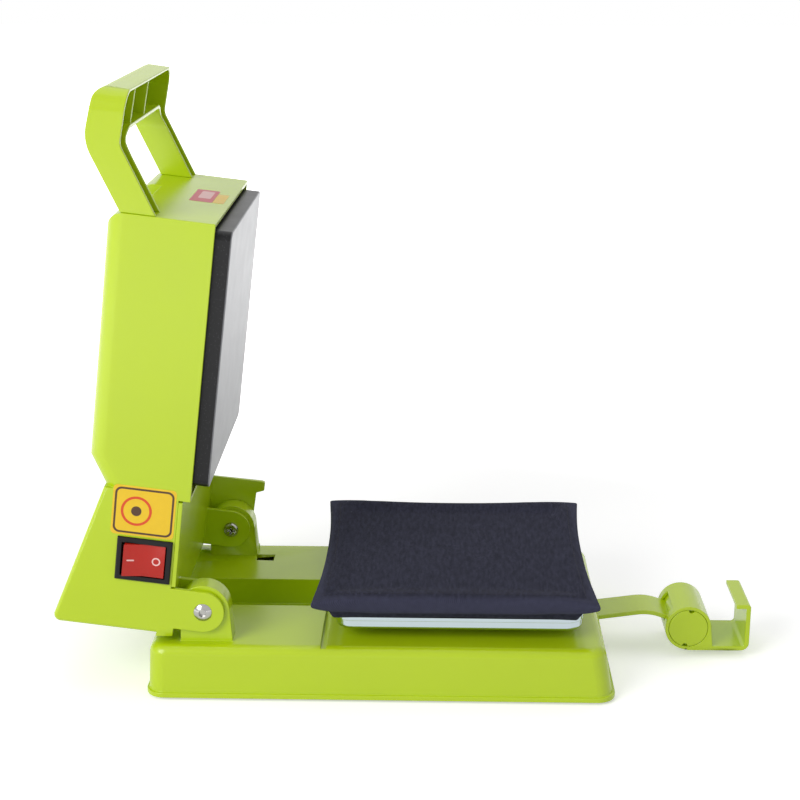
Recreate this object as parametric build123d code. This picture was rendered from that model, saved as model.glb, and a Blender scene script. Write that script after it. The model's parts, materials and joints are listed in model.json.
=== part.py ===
from build123d import *
import os
from math import asin, atan2, cos, degrees, hypot, radians, sin, tan

os.makedirs("parts", exist_ok=True)

# Label heat press, in millimetres. The origin is on the table under the middle of the whole press
# as it stands open, +X points from the hood hinge to the latch, +Y away from the rocker switch, +Z up.
# Base parts are drawn about the middle of the base. Hood parts are drawn closed about the hinge axis
# and are then swung open. All of them are moved to the origin when they are written.

# General moulding sizes
WALL = 2.5
SEAT_GAP = 0.3
RUN_GAP = 0.05
SIDE_GAP = 0.3
SCREW_ROOM = 0.2
TIP_ROOM = 1.0

# Heated platen and the stack that it closes on
PLATEN_SIZE = 150.0
PLATEN_THICK = 12.0
PLATEN_CORNER = 5.0
PLATEN_FROM_HINGE = 75.0
PLATEN_PROUD = 9.3
PAD_THICK = 7.1
TRAY_DEPTH = 8.2
TRAY_LIFT = 7.3

# Base
BASE_TOP = 32.5
BASE_FOOT = 1.5
BASE_SIDE_MARGIN = 9.5
BASE_REAR_MARGIN = 34.5
BASE_FRONT_MARGIN = 12.9
BASE_CORNER = 10.0
BASE_ROUNDING = 6.0
BASE_LIP_OUT = 1.2
BASE_LIP_TALL = 3.0
BASE_LEAN_REAR = 1.1
BASE_LEAN_FRONT = 5.3
BASE_LEAN_SIDE = 2.3
CHANNEL_HALF = 21.2
CHANNEL_DEEP = 17.0
CHANNEL_END_FROM_HINGE = 69.0
GROOVE_WIDE = 3.2
GROOVE_DEEP = 1.0
WIRE_SLOT_START = 16.5
WIRE_SLOT_LONG = 11.8
WIRE_SLOT_Y = 58.6
WIRE_SLOT_WIDE = 10.6
BOTTOM_PLATE_THICK = 2.0
VENT_LONG = 40.0
VENT_WIDE = 3.0
VENT_PITCH = 9.0
VENT_COUNT = 9
FOOT_DIAMETER = 16.0
FOOT_END_INSET = 36.0
FOOT_SIDE_INSET = 22.0
FOOT_BARB = 1.2
SCREW_HEAD = 6.0
SCREW_HEAD_SUNK = 0.9
PAN_HEAD_TALL = 2.0
SCREW_SHANK = 3.0
BASE_SCREW_LONG = 13.0
BOSS_DIAMETER = 8.0
BOSS_INSET = 17.0
BOSS_ROWS = 4
CUSHION_BOSS_TALL = 10.0

# Hinge
HINGE_HEIGHT = 52.0
OPEN_ANGLE = 83.227
EAR_RADIUS = 12.5
EAR_THICK = 3.0
POST_RADIUS = 15.2
POST_THICK = 13.4
POST_REAR = 14.0
POST_FOOT_GROWS = 1.8
POST_NUB_LONG = 3.5
POST_NUB_TALL = 2.7
POST_NUB_SIDE = 1.5
HINGE_BARREL = 7.0
HINGE_THREAD = 4.0
HINGE_SCREW_LONG = 12.0
DOME_DIAMETER = 11.0
DOME_TALL = 2.3
DOME_SOCKET = 2.3
SCREW_HEAD_DIAMETER = 9.7
SCREW_HEAD_TALL = 2.4
SCREW_HEAD_ROUND = 1.2

# Hood
HOOD_REAR_MARGIN = 8.0
HOOD_FRONT_MARGIN = 4.6
HOOD_SIDE_MARGIN = 4.0
HOOD_DEPTH = 60.5
HOOD_ROUNDING = 10.5
HOOD_BEVEL_LONG = 20.0
HOOD_BEVEL_DEEP = 11.8
NECK_STEP = 6.7
NECK_BOTTOM = 16.7
NECK_TAIL_RISE = 14.8
NECK_TOP_DROP = 9.3
NECK_CORNER = 4.0
NECK_OVERLAP = 3.0
NECK_SIDE_ROUND = 2.5
NECK_MOUTH_REAR = 8.0
NECK_MOUTH_SIDE = 4.0
WIRE_HOLE = 12.0
COVER_START = 13.6
COVER_END = 66.0
TAB_DROP = 1.7
TAB_TIP = 0.4
TAB_ABOVE = 6.3
TAB_BELOW = 3.3
HOOK_PLATE_REACH = 18.0
HOOK_PLATE_TOP = 30.0
HOOK_PLATE_TAPER = 0.6
HOOK_TIP_WIDE = 6.4
HOOK_TIP_SLANT = 2.1
HOOK_TIP_TALL = 2.0
HOOK_INNER = 12.9
HOOD_BOSS_REAR = 38.0
HOOD_BOSS_FRONT = 26.0
HOOD_BOSS_SIDE = 14.0
CATCH_HALF = 22.5
CATCH_LONG = 15.6
CATCH_STRIP = 2.0
CATCH_TOP_DROP = 14.5
CATCH_FLOOR_DROP = 23.5

# Handle
HANDLE_SIDE_INSET = 1.0
HANDLE_WALL = 2.3
HANDLE_WEB = 3.0
HANDLE_SUNK = 7.0
HANDLE_LEG_WIDE = 16.0
HANDLE_ROOT_LOW = 33.0
HANDLE_ROOT_HIGH = 52.9
HANDLE_KNEE_OUT = 36.8
HANDLE_KNEE_UP = 55.8
HANDLE_GRIP_LOW = 53.8
HANDLE_LENGTH = 66.6
HANDLE_TOP_OUT = 36.4
HANDLE_TOP_UP = 75.8
HANDLE_TOP_FALL = 3.5
HANDLE_GRIP_LEAN = 0.6
HANDLE_LIP_OUT = 42.0
HANDLE_TOP_BEND = 24.0
HANDLE_KNEE_BEND = 8.0
HANDLE_CORNER = 13.0
WINDOW_CORNER = 14.0
RIB_PLACES = (-41.0, 3.0)
RIB_THICK = 2.0
RIB_SUNK = 1.5

# Rocker switch in the near wall of the neck
SWITCH_LONG = 32.2
SWITCH_TALL = 26.5
SWITCH_BEZEL = 1.8
SWITCH_FRAME = 3.2
SWITCH_WALL = 1.4
SWITCH_BEZEL_EDGE = 0.7
SWITCH_WELL = 8.0
SWITCH_DEEP = 21.0
SWITCH_FROM_AXIS = 28.45
SWITCH_FROM_HINGE = 36.9
TERMINAL_LONG = 8.0
TERMINAL_WIDE = 6.0
TERMINAL_THICK = 0.8
ROCKER_PIVOT_DEEP = 2.6
ROCKER_PROUD = 3.6
ROCKER_PIN = 2.0
ROCKER_END_GAP = 0.9
ROCKER_SIDE_GAP = 0.4
ROCKER_DRAFT = 0.9
ROCKER_TILT = 10.0
ROCKER_THROW = 8.0

# Control panel on the rear slope of the neck
PANEL_TALL = 50.0
PANEL_THICK = 1.5
PANEL_CORNER = 3.0
PANEL_LEDGE = 3.0
WINDOW_LONG = 46.0
WINDOW_TALL = 20.0
WINDOW_THICK = 1.2
WINDOW_ROUND = 1.5
WINDOW_MARGIN = 8.0
BUTTON_DIAMETER = 9.0
BUTTON_PITCH = 17.0
BUTTON_GAP = 5.5
BUTTON_MARGIN = 9.5
BUTTON_PROUD = 1.5
BUTTON_TRAVEL = 0.8
BUTTON_EDGE = 0.6
BUTTON_FLANGE = 1.1
BOARD_INSET = 6.0
BOARD_THICK = 1.6
BOARD_DEPTH = 9.0
BOARD_POST_INSET = 4.0
BOARD_SCREW = 2.0
BOARD_SCREW_HEAD = 1.6
BOARD_SCREW_BITE = 5.0
TRANSFORMER_SIZE = (20.0, 18.0, 14.0)
RELAY_SIZE = (18.0, 14.0, 12.0)
TACT_SIZE = 6.0
TACT_TALL = 4.3

# Mains inlet in the bottom wall of the neck
INLET_LONG = 30.0
INLET_TALL = 22.0
INLET_DEEP = 20.0
INLET_BEZEL = 1.6
INLET_FRAME = 1.5
INLET_CORNER = 2.0
INLET_ABOVE_MIDDLE = 4.0
INLET_PINS = ((-7.0, -2.0), (7.0, -2.0), (0.0, 2.0))
INLET_PIN_LONG = 11.0
INLET_PIN_THICK = 2.0
INLET_PIN_TALL = 4.0
INLET_RECESS_CUT = 4.0
INLET_RECESS_LONG = 24.0
INLET_RECESS_TALL = 16.5
INLET_RECESS_DEEP = 14.0

# Heater stack behind the platen
ELEMENT_THICK = 1.5
MAT_THICK = 10.0
SHIELD_THICK = 1.0
STANDOFF_DIAMETER = 8.0
STANDOFF_INSET = 18.0
STUD_DIAMETER = 4.0
STUD_HEAD = 7.0
STUD_BITE = 6.0
SHIELD_SCREW_LONG = 11.0
THERMOSTAT_DIAMETER = 15.0
THERMOSTAT_TALL = 9.0

# Tray
TRAY_SIDE_INSET = 1.0
TRAY_END_INSET = 1.5
TRAY_SHEET = 1.0
TRAY_CORNER = 10.0
TRAY_EDGE = 2.6
TRAY_LIP = 0.6
TRAY_LIP_TALL = 2.4
TRAY_SCREW_BITE = 7.0
CUSHION_DIAMETER = 16.0
CUSHION_EDGE = 0.8
CUSHION_INSET = 34.0

# Press pad, whose middle is drawn as low as the closed platen presses it
PAD_OVER_REAR = 11.1
PAD_OVER_FRONT = 6.4
PAD_OVER_SIDE = 13.4
PAD_DRAWN_END = 3.0
PAD_DRAWN_SIDE = 4.0
PAD_CORNER_RISE = 9.4
PAD_SIDE_RISE = 6.6
PAD_EDGE_THICK = 7.4
PAD_EDGE_ROUND = 1.0
PAD_FLAT_MARGIN = 1.0

# Latch arm, barrel and hook
LATCH_PIVOT_INSET = 10.3
LATCH_PIVOT_DROP = 10.0
LATCH_REACH = 60.8
LATCH_BARREL_DROP = 3.0
STRAP_HALF = 13.0
STRAP_THICK = 2.7
STRAP_PEAK_OUT = 36.8
STRAP_PEAK_UP = 5.3
STRAP_BEND = 30.0
STRAP_START_DROP = 0.4
STRAP_END_SHORT = 6.0
STRAP_END_UP = 1.9
PIVOT_PIN = 3.0
PIVOT_PIN_SEAT = 0.5
PIVOT_EYE = 3.4
BARREL_RADIUS = 14.2
BARREL_HALF = 20.5
CORE_RADIUS = 12.0
CORE_NOTCH = 1.8
CORE_NOTCH_DEEP = 3.0
CORE_NOTCH_TURN = 8.0
HOOK_REACH = 38.0
HOOK_RISE = 16.0
HOOK_WALL = 2.7
HOOK_FLANGE = 9.0
HOOK_CORNER = 5.0
HOOK_TIP_ROUND = 2.0
HOOK_FOOT_OUT = 15.5
HOOK_SOLE_DROP = 0.3
HOOK_SWING = 20.0
HOOK_SLOT_DROP = 1.6
HOOK_SLOT_ROOM = 0.5
HOOK_SLOT_SPARE = 2.0
SLEEVE_GAP = 0.15

# Heights and places that follow from the sizes above
hood_x0 = PLATEN_FROM_HINGE - HOOD_REAR_MARGIN
hood_x1 = PLATEN_FROM_HINGE + PLATEN_SIZE + HOOD_FRONT_MARGIN
hood_half = PLATEN_SIZE / 2 + HOOD_SIDE_MARGIN
base_long = BASE_REAR_MARGIN + hood_x1 + BASE_FRONT_MARGIN
base_half = hood_half + BASE_SIDE_MARGIN
hinge_x = BASE_REAR_MARGIN - base_long / 2
tray_bottom = BASE_TOP + TRAY_LIFT
tray_rim = tray_bottom + TRAY_DEPTH
pad_bottom = tray_rim + SEAT_GAP
pad_top = pad_bottom + PAD_THICK
face_z = pad_top + SEAT_GAP - HINGE_HEIGHT
rim_z = face_z + PLATEN_PROUD
back_z = rim_z + HOOD_DEPTH
neck_z = rim_z + NECK_STEP
tail_z = back_z + NECK_TAIL_RISE
press_x = hinge_x + PLATEN_FROM_HINGE + PLATEN_SIZE / 2
handle_half = hood_half - HANDLE_SIDE_INSET
button_row = BUTTON_DIAMETER + 2 * BUTTON_PITCH
panel_long = WINDOW_MARGIN + WINDOW_LONG + BUTTON_GAP + button_row + BUTTON_MARGIN
board_long = panel_long - 2 * BOARD_INSET
board_tall = PANEL_TALL - 2 * BOARD_INSET

closed = Location((hinge_x, 0, HINGE_HEIGHT))


def side_solid(points, half_width):
    """A prism across the press with the given outline in x and z."""
    face = make_face(Polyline(*points, close=True))
    return extrude(Plane.XZ * face, half_width, both=True)


def box_between(x0, x1, y0, y1, z0, z1):
    """A box between two corners."""
    size = (x1 - x0, y1 - y0, z1 - z0)
    return Pos((x0 + x1) / 2, (y0 + y1) / 2, (z0 + z1) / 2) * Box(*size)


def cross_rod(radius, y0, y1, x=0.0, z=0.0):
    """A round rod along y."""
    turn = Location((x, (y0 + y1) / 2, z), (90, 0, 0))
    return turn * Cylinder(radius, y1 - y0)


def side_rod(radius, side, inner, outer):
    """A round rod on the hinge axis, between two distances from the middle on one side."""
    return cross_rod(radius, min(side * inner, side * outer), max(side * inner, side * outer))


def post(radius, z0, z1, x=0.0, y=0.0):
    """A round rod along z."""
    return Pos(x, y, (z0 + z1) / 2) * Cylinder(radius, z1 - z0)


def rounded_slab(long, wide, z0, z1, corner, x=0.0, y=0.0):
    """A flat slab with rounded corners in plan."""
    sketch = Pos(x, y, z0) * RectangleRounded(long, wide, corner)
    return extrude(sketch, z1 - z0)


def corners(x, half_x, half_y):
    """The four corners of a rectangle that is centred on y = 0."""
    return [(x + sx * half_x, sy * half_y) for sx in (-1, 1) for sy in (-1, 1)]


def pan_screw(x, y, z, head, head_tall, shank, long, up=1):
    """A pan head screw along z whose head sits at z, on the side that up points to."""
    tip = z - up * long
    top = z + up * head_tall
    body = post(head / 2, min(z, top), max(z, top), x, y)
    return body + post(shank / 2, min(z, tip), max(z, tip), x, y)


def nearest(face, x, y):
    """The vertex of a flat outline that is nearest to a point."""
    return face.vertices().sort_by(lambda v: hypot(v.X - x, v.Y - y))[0]


def swung_open(shape):
    """The solids of a hood part, turned about the hinge axis from closed to open."""
    return [
        solid.rotate(Axis.Y, -OPEN_ANGLE).translate((hinge_x, 0, HINGE_HEIGHT))
        for solid in shape.solids()
    ]


def save(name, solids, shift):
    """Write one sub-part where it stands on the press at rest."""
    moved = [solid.translate((shift, 0, 0)) for solid in solids]
    whole = moved[0] if len(moved) == 1 else Compound(moved)
    whole.label = name
    export_step(whole, f"parts/{name}.step")


# Base cover: a moulded shell with a channel, two hinge posts and a pocket for the latch arm

base_lip_half = base_half - BASE_LIP_OUT
base_rear = -base_long / 2
base_front = base_long / 2
latch_x = base_front - LATCH_PIVOT_INSET
latch_z = BASE_TOP - LATCH_PIVOT_DROP


def leaning_block(z0, z1, inset, corner):
    """A block between two heights whose walls lean in as the base's outer walls do."""
    tall = BASE_TOP - BASE_FOOT
    faces = []
    for z in (z0, z1):
        share = (z - BASE_FOOT) / tall
        x0 = base_rear + BASE_LIP_OUT + inset + BASE_LEAN_REAR * share
        x1 = base_front - BASE_LIP_OUT - inset - BASE_LEAN_FRONT * share
        half = base_lip_half - inset - BASE_LEAN_SIDE * share
        faces.append(Pos((x0 + x1) / 2, 0, z) * RectangleRounded(x1 - x0, 2 * half, corner))
    return loft(faces)


def post_outline(radius, rear, grows, foot_z):
    """The side outline of a hinge post about the hinge axis: a round head on a wide foot."""
    head = Circle(radius) & Pos(radius - rear, 0) * Rectangle(2 * radius, 2 * radius)
    foot = make_face(
        Polyline((-rear, 0), (radius, 0), (radius + grows, foot_z), (-rear, foot_z), close=True)
    )
    return head + foot


ear_inner = hood_half - EAR_THICK
post_outer = ear_inner - SIDE_GAP
post_inner = post_outer - POST_THICK
inner_ear_outer = post_inner - SIDE_GAP
inner_ear_inner = inner_ear_outer - EAR_THICK
post_middle = (post_outer + post_inner) / 2
boss_pitch = (base_long - 2 * BOSS_INSET) / (BOSS_ROWS - 1)
boss_places = [
    (base_rear + BOSS_INSET + row * boss_pitch, side * (base_half - BOSS_INSET))
    for row in range(BOSS_ROWS) for side in (-1, 1)
]
cushion_half = PLATEN_SIZE / 2 - CUSHION_INSET
cushion_places = corners(press_x, cushion_half, cushion_half)


def base_cover():
    """The base's outer moulding."""
    shell_top = BASE_TOP - WALL
    outer = leaning_block(BASE_FOOT, BASE_TOP, 0, BASE_CORNER)
    outer = fillet(outer.faces().sort_by(Axis.Z)[-1].edges(), BASE_ROUNDING)
    outer += rounded_slab(
        base_long, 2 * base_half, BASE_FOOT, BASE_FOOT + BASE_LIP_TALL, BASE_CORNER + BASE_LIP_OUT
    )
    void = leaning_block(BASE_FOOT, shell_top, WALL, BASE_CORNER - WALL)
    void = chamfer(void.faces().sort_by(Axis.Z)[-1].edges(), BASE_ROUNDING - WALL)
    channel_end = hinge_x + CHANNEL_END_FROM_HINGE
    channel_floor = BASE_TOP - CHANNEL_DEEP
    trough = box_between(
        base_rear, channel_end + WALL, -CHANNEL_HALF - WALL, CHANNEL_HALF + WALL,
        channel_floor - WALL, BASE_TOP,
    )
    pocket_x0 = latch_x - PIVOT_EYE - SEAT_GAP
    pocket_half = STRAP_HALF + SEAT_GAP
    pocket_floor = latch_z - PIVOT_EYE - SEAT_GAP
    cup_half = pocket_half + WALL + 2 * PIVOT_PIN_SEAT
    cup = box_between(
        pocket_x0 - WALL, base_front, -cup_half, cup_half, pocket_floor - WALL, BASE_TOP
    )
    void -= trough
    void -= cup
    for x, y in boss_places:
        void -= post(BOSS_DIAMETER / 2, BASE_FOOT + BOTTOM_PLATE_THICK, BASE_TOP, x, y)
    for x, y in cushion_places:
        void -= post(BOSS_DIAMETER / 2, shell_top - CUSHION_BOSS_TALL, BASE_TOP, x, y)
    cover = outer - void
    cover -= box_between(
        base_rear - 1, channel_end, -CHANNEL_HALF, CHANNEL_HALF, channel_floor, BASE_TOP + 1
    )
    cover -= box_between(
        channel_end, channel_end + GROOVE_WIDE, -base_half, base_half,
        BASE_TOP - GROOVE_DEEP, BASE_TOP + 1,
    )
    cover -= box_between(
        pocket_x0, latch_x + PIVOT_EYE + SEAT_GAP, -pocket_half, pocket_half,
        pocket_floor, BASE_TOP + 1,
    )
    strap_floor = latch_z - STRAP_THICK / 2 - 2 * SEAT_GAP
    cover -= box_between(
        latch_x, base_front + 1, -pocket_half, pocket_half, strap_floor, BASE_TOP + 1
    )
    slot_x = hinge_x + WIRE_SLOT_START
    cover -= box_between(
        slot_x, slot_x + WIRE_SLOT_LONG, WIRE_SLOT_Y - WIRE_SLOT_WIDE / 2,
        WIRE_SLOT_Y + WIRE_SLOT_WIDE / 2, shell_top - 1, BASE_TOP + 1,
    )
    foot_z = BASE_TOP - WALL - HINGE_HEIGHT
    outline = post_outline(POST_RADIUS, POST_REAR, POST_FOOT_GROWS, foot_z)
    for side in (-1, 1):
        y = side * post_middle
        knuckle = extrude(Plane.XZ * outline, POST_THICK / 2, both=True)
        knuckle = closed * (Pos(0, y, 0) * knuckle)
        cover += knuckle
        core_top = HINGE_HEIGHT - HINGE_BARREL / 2 - WALL
        cover -= box_between(
            hinge_x - POST_REAR + WALL, hinge_x + POST_RADIUS - WALL,
            y - POST_THICK / 2 + WALL, y + POST_THICK / 2 - WALL, shell_top - 1, core_top,
        )
        bore = cross_rod(HINGE_BARREL / 2 + RUN_GAP, y - POST_THICK, y + POST_THICK)
        cover -= closed * bore
    nub_x1 = hinge_x + POST_RADIUS + POST_FOOT_GROWS
    cover += box_between(
        nub_x1 - POST_NUB_LONG, nub_x1, post_outer - 1, ear_inner + POST_NUB_SIDE,
        BASE_TOP - 1, BASE_TOP + POST_NUB_TALL,
    )
    for x, y in boss_places:
        cover -= post(SCREW_SHANK / 2, BASE_FOOT, BASE_FOOT + BASE_SCREW_LONG + TIP_ROOM, x, y)
    cover -= cross_rod(PIVOT_PIN / 2, -cup_half, cup_half, latch_x, latch_z)
    for x, y in cushion_places:
        cover -= post(SCREW_SHANK / 2, BASE_TOP - TRAY_SCREW_BITE - TIP_ROOM, BASE_TOP + 1, x, y)
    return cover


foot_places = corners(0, base_long / 2 - FOOT_END_INSET, base_half - FOOT_SIDE_INSET)


def base_bottom_plate():
    """The flat plate that closes the base from below, with cooling slots."""
    top = BASE_FOOT + BOTTOM_PLATE_THICK
    inset = WALL + SEAT_GAP
    plate = leaning_block(BASE_FOOT, top, inset, BASE_CORNER - WALL)
    for x, y in boss_places:
        plate -= post(SCREW_SHANK / 2 + SCREW_ROOM, BASE_FOOT - 1, top + 1, x, y)
        plate -= post(SCREW_HEAD / 2 + SCREW_ROOM, BASE_FOOT - 1, BASE_FOOT + SCREW_HEAD_SUNK, x, y)
    for x, y in foot_places:
        plate -= post(FOOT_DIAMETER / 4, BASE_FOOT - 1, top + 1, x, y)
    for step in range(VENT_COUNT):
        x = press_x + VENT_PITCH * (step - (VENT_COUNT - 1) / 2)
        plate -= Pos(x, 0, BASE_FOOT) * Box(VENT_WIDE, VENT_LONG, 3 * BOTTOM_PLATE_THICK)
    return plate


def rubber_feet():
    """Four feet, each with a plug that is pressed through the bottom plate."""
    top = BASE_FOOT + BOTTOM_PLATE_THICK
    feet = []
    for x, y in foot_places:
        pad = chamfer(post(FOOT_DIAMETER / 2, 0, BASE_FOOT, x, y).edges().sort_by(Axis.Z)[0], 0.5)
        plug = post(FOOT_DIAMETER / 4, BASE_FOOT, top, x, y)
        feet.append(pad + plug + post(FOOT_DIAMETER / 4 + FOOT_BARB, top, top + FOOT_BARB, x, y))
    return Compound(feet)


def base_screws():
    """The screws that hold the bottom plate to the bosses of the cover."""
    z = BASE_FOOT + SCREW_HEAD_SUNK
    screws = []
    for x, y in boss_places:
        head = post(SCREW_HEAD / 2, BASE_FOOT, z, x, y)
        screws.append(head + post(SCREW_SHANK / 2, z, BASE_FOOT + BASE_SCREW_LONG, x, y))
    return Compound(screws)


# Tray: a pressed pan on four rubber cushions, filled with a foam slab

tray_x0 = press_x - PLATEN_SIZE / 2 + TRAY_END_INSET
tray_x1 = press_x + PLATEN_SIZE / 2 - TRAY_END_INSET
tray_long = tray_x1 - tray_x0
tray_wide = PLATEN_SIZE - 2 * TRAY_SIDE_INSET
tray_floor = tray_bottom + TRAY_SHEET


def tray_slab(inset, z0, z1):
    """A slab with the pan's outline, drawn in by an inset, whose lower edge is eased to match."""
    corner = TRAY_CORNER + TRAY_LIP - inset
    slab = rounded_slab(tray_long - 2 * inset, tray_wide - 2 * inset, z0, z1, corner, press_x)
    return fillet(slab.faces().sort_by(Axis.Z)[0].edges(), TRAY_EDGE + TRAY_LIP - inset)


def tray():
    """The pan, with a rolled lip round its rim and a screw hole over each cushion."""
    pan = tray_slab(TRAY_LIP, tray_bottom, tray_rim)
    pan += rounded_slab(
        tray_long, tray_wide, tray_rim - TRAY_LIP_TALL, tray_rim, TRAY_CORNER + TRAY_LIP, press_x
    )
    pan -= tray_slab(TRAY_LIP + TRAY_SHEET, tray_floor, tray_rim + 1)
    for x, y in cushion_places:
        pan -= post(SCREW_SHANK / 2 + SCREW_ROOM, tray_bottom - 1, tray_floor + 1, x, y)
    return pan


def tray_foam():
    """The foam slab that fills the pan and carries the pad."""
    slab = tray_slab(TRAY_LIP + TRAY_SHEET + SEAT_GAP, tray_floor, tray_rim)
    for x, y in cushion_places:
        slab -= post(SCREW_HEAD / 2 + SEAT_GAP, tray_floor - 1, tray_floor + PAN_HEAD_TALL + TIP_ROOM, x, y)
    return slab


def tray_cushions():
    """Four rubber rings that hold the tray clear of the base."""
    rings = []
    for x, y in cushion_places:
        ring = post(CUSHION_DIAMETER / 2, BASE_TOP, tray_bottom, x, y)
        ring = chamfer(ring.edges().filter_by(GeomType.CIRCLE), CUSHION_EDGE)
        rings.append(ring - post(SCREW_SHANK / 2 + SCREW_ROOM, BASE_TOP - 1, tray_bottom + 1, x, y))
    return Compound(rings)


def tray_screws():
    """The screws down through the tray and its cushions into the base."""
    long = tray_floor - BASE_TOP + TRAY_SCREW_BITE
    return Compound(
        [pan_screw(x, y, tray_floor, SCREW_HEAD, PAN_HEAD_TALL, SCREW_SHANK, long) for x, y in cushion_places]
    )


# Press pad: a crowned cushion whose sides pull in between lifted corners

pad_x0 = press_x - PLATEN_SIZE / 2 - PAD_OVER_REAR
pad_x1 = press_x + PLATEN_SIZE / 2 + PAD_OVER_FRONT
pad_half = PLATEN_SIZE / 2 + PAD_OVER_SIDE


def pad_section(x, at_end):
    """One cross-section of the pad: flat under the platen, and lifted where at_end is true."""
    flat = PLATEN_SIZE / 2 + PAD_FLAT_MARGIN
    share = abs(2 * x - pad_x0 - pad_x1) / (pad_x1 - pad_x0)
    half = pad_half - PAD_DRAWN_SIDE * (1 - share**2)
    rise = PAD_SIDE_RISE + (PAD_CORNER_RISE - PAD_SIDE_RISE) * share**2
    lift = PAD_SIDE_RISE if at_end else 0.0
    low = pad_bottom + lift
    high = pad_top + lift
    middle = (pad_bottom + pad_top) / 2 + rise
    top_edge = middle + PAD_EDGE_THICK / 2 - PAD_EDGE_ROUND
    low_edge = middle - PAD_EDGE_THICK / 2 + PAD_EDGE_ROUND
    inner = half - 1.6 * PAD_EDGE_ROUND
    right = [
        Line((0, low), (flat, low)),
        Line((flat, low), (inner, low_edge)),
        ThreePointArc((inner, low_edge), (half, middle), (inner, top_edge)),
        Line((inner, top_edge), (flat, high)),
        Line((flat, high), (0, high)),
    ]
    left = [edge.mirror(Plane.YZ) for edge in right]
    face = make_face(Wire(right + left))
    return Plane(origin=(x, 0, 0), x_dir=(0, 1, 0), z_dir=(1, 0, 0)) * face


def press_pad():
    """The pad on the tray, drawn in along all four sides."""
    flat_half = PLATEN_SIZE / 2 + PAD_FLAT_MARGIN
    faces = [pad_section(pad_x0, True)]
    for share in (-1.0, -0.5, 0.0, 0.5, 1.0):
        faces.append(pad_section(press_x + flat_half * share, False))
    faces.append(pad_section(pad_x1, True))
    outline = make_face(
        [
            ThreePointArc((pad_x0, -pad_half), (pad_x0 + PAD_DRAWN_END, 0), (pad_x0, pad_half)),
            Line((pad_x0, pad_half), (pad_x1, pad_half)),
            ThreePointArc((pad_x1, pad_half), (pad_x1 - PAD_DRAWN_END, 0), (pad_x1, -pad_half)),
            Line((pad_x1, -pad_half), (pad_x0, -pad_half)),
        ]
    )
    return loft(faces, ruled=True) & extrude(outline, 2 * HINGE_HEIGHT)


# Hinge hardware


def hinge_nuts():
    """A dome-headed barrel nut through each outer ear, post and inner ear."""
    nuts = []
    sphere_radius = (DOME_DIAMETER**2 / 4 + DOME_TALL**2) / (2 * DOME_TALL)
    for side in (-1, 1):
        tip = side * (hood_half + DOME_TALL)
        barrel = side_rod(HINGE_BARREL / 2, side, inner_ear_inner, hood_half)
        head = Pos(0, side * (hood_half + DOME_TALL - sphere_radius), 0) * Sphere(sphere_radius)
        head &= side_rod(DOME_DIAMETER / 2, side, hood_half, hood_half + DOME_TALL)
        hexagon = Location((0, tip, 0), (90 * side, 0, 0)) * RegularPolygon(DOME_SOCKET, 6)
        socket = extrude(hexagon, DOME_TALL, both=True)
        thread_end = inner_ear_inner + HINGE_SCREW_LONG + TIP_ROOM
        thread = side_rod(HINGE_THREAD / 2, side, inner_ear_inner - 1, thread_end)
        nuts.append(barrel + head - socket - thread)
    return Compound(nuts)


def hinge_screws():
    """The pan head screw that closes each barrel nut from inside the press."""
    screws = []
    for side in (-1, 1):
        head = side_rod(SCREW_HEAD_DIAMETER / 2, side, inner_ear_inner - SCREW_HEAD_TALL, inner_ear_inner)
        rim = head.edges().filter_by(GeomType.CIRCLE).sort_by(lambda e: abs(e.center().Y))[0]
        head = fillet(rim, SCREW_HEAD_ROUND)
        shank = side_rod(HINGE_THREAD / 2, side, inner_ear_inner, inner_ear_inner + HINGE_SCREW_LONG)
        screws.append(head + shank)
    return Compound(screws)


# Hood, drawn closed about the hinge axis

slope_x1 = hood_x0
slope_z1 = back_z - NECK_TOP_DROP
bevel_x = hood_x0 + HOOD_BEVEL_LONG
bevel_z = back_z - HOOD_BEVEL_DEEP
slope_turn = atan2(tail_z - slope_z1, slope_x1 + NECK_BOTTOM)


def hood_box(inset, floor_z, rounding):
    """The deep part of the hood, without or with its wall taken off."""
    points = [
        (hood_x0 + inset, floor_z),
        (hood_x1 - inset, floor_z),
        (hood_x1 - inset, back_z - inset),
        (bevel_x + inset * 0.3, back_z - inset),
        (hood_x0 + inset, bevel_z - inset * 0.9),
    ]
    half = hood_half - inset
    box = side_solid(points, half)
    edges = [
        e for e in box.edges()
        if e.center().Z > bevel_z and (abs(e.center().Y) > half - 0.01 or e.center().X > hood_x1 - inset - 0.01)
    ]
    return fillet(edges, rounding)


def neck_face(inset):
    """The side outline of the neck behind the hinge, without or with its wall taken off."""
    reach = 0.0 if inset else NECK_OVERLAP
    drop = inset / cos(slope_turn)
    x0 = -NECK_BOTTOM + inset
    x1 = hood_x0 + reach
    z0 = tail_z - drop - inset * tan(slope_turn)
    z1 = slope_z1 - drop - reach * tan(slope_turn)
    return [(x1, neck_z + inset), (x0, neck_z + inset), (x0, z0), (x1, z1)]


def ear_outline():
    """A hinge ear seen from the side: a round end on a broad root."""
    root = Pos(0, neck_z / 2 + 0.5) * Rectangle(2 * EAR_RADIUS, neck_z + 1)
    return Circle(EAR_RADIUS) + root


def hook_plate_outline():
    """The far ear's plate with its hooked tip."""
    tip = HOOK_PLATE_TOP - HOOK_TIP_WIDE
    points = [
        (0, neck_z + 1),
        (HOOK_PLATE_TOP - HOOK_PLATE_TAPER, neck_z + 1),
        (HOOK_PLATE_TOP, HOOK_TIP_TALL - HOOK_PLATE_REACH),
        (HOOK_PLATE_TOP - HOOK_PLATE_TAPER, -HOOK_PLATE_REACH),
        (tip, -HOOK_PLATE_REACH),
        (tip - HOOK_TIP_SLANT, -HOOK_INNER),
        (0, SEAT_GAP - EAR_RADIUS),
    ]
    return make_face(Polyline(*points, close=True))


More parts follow.
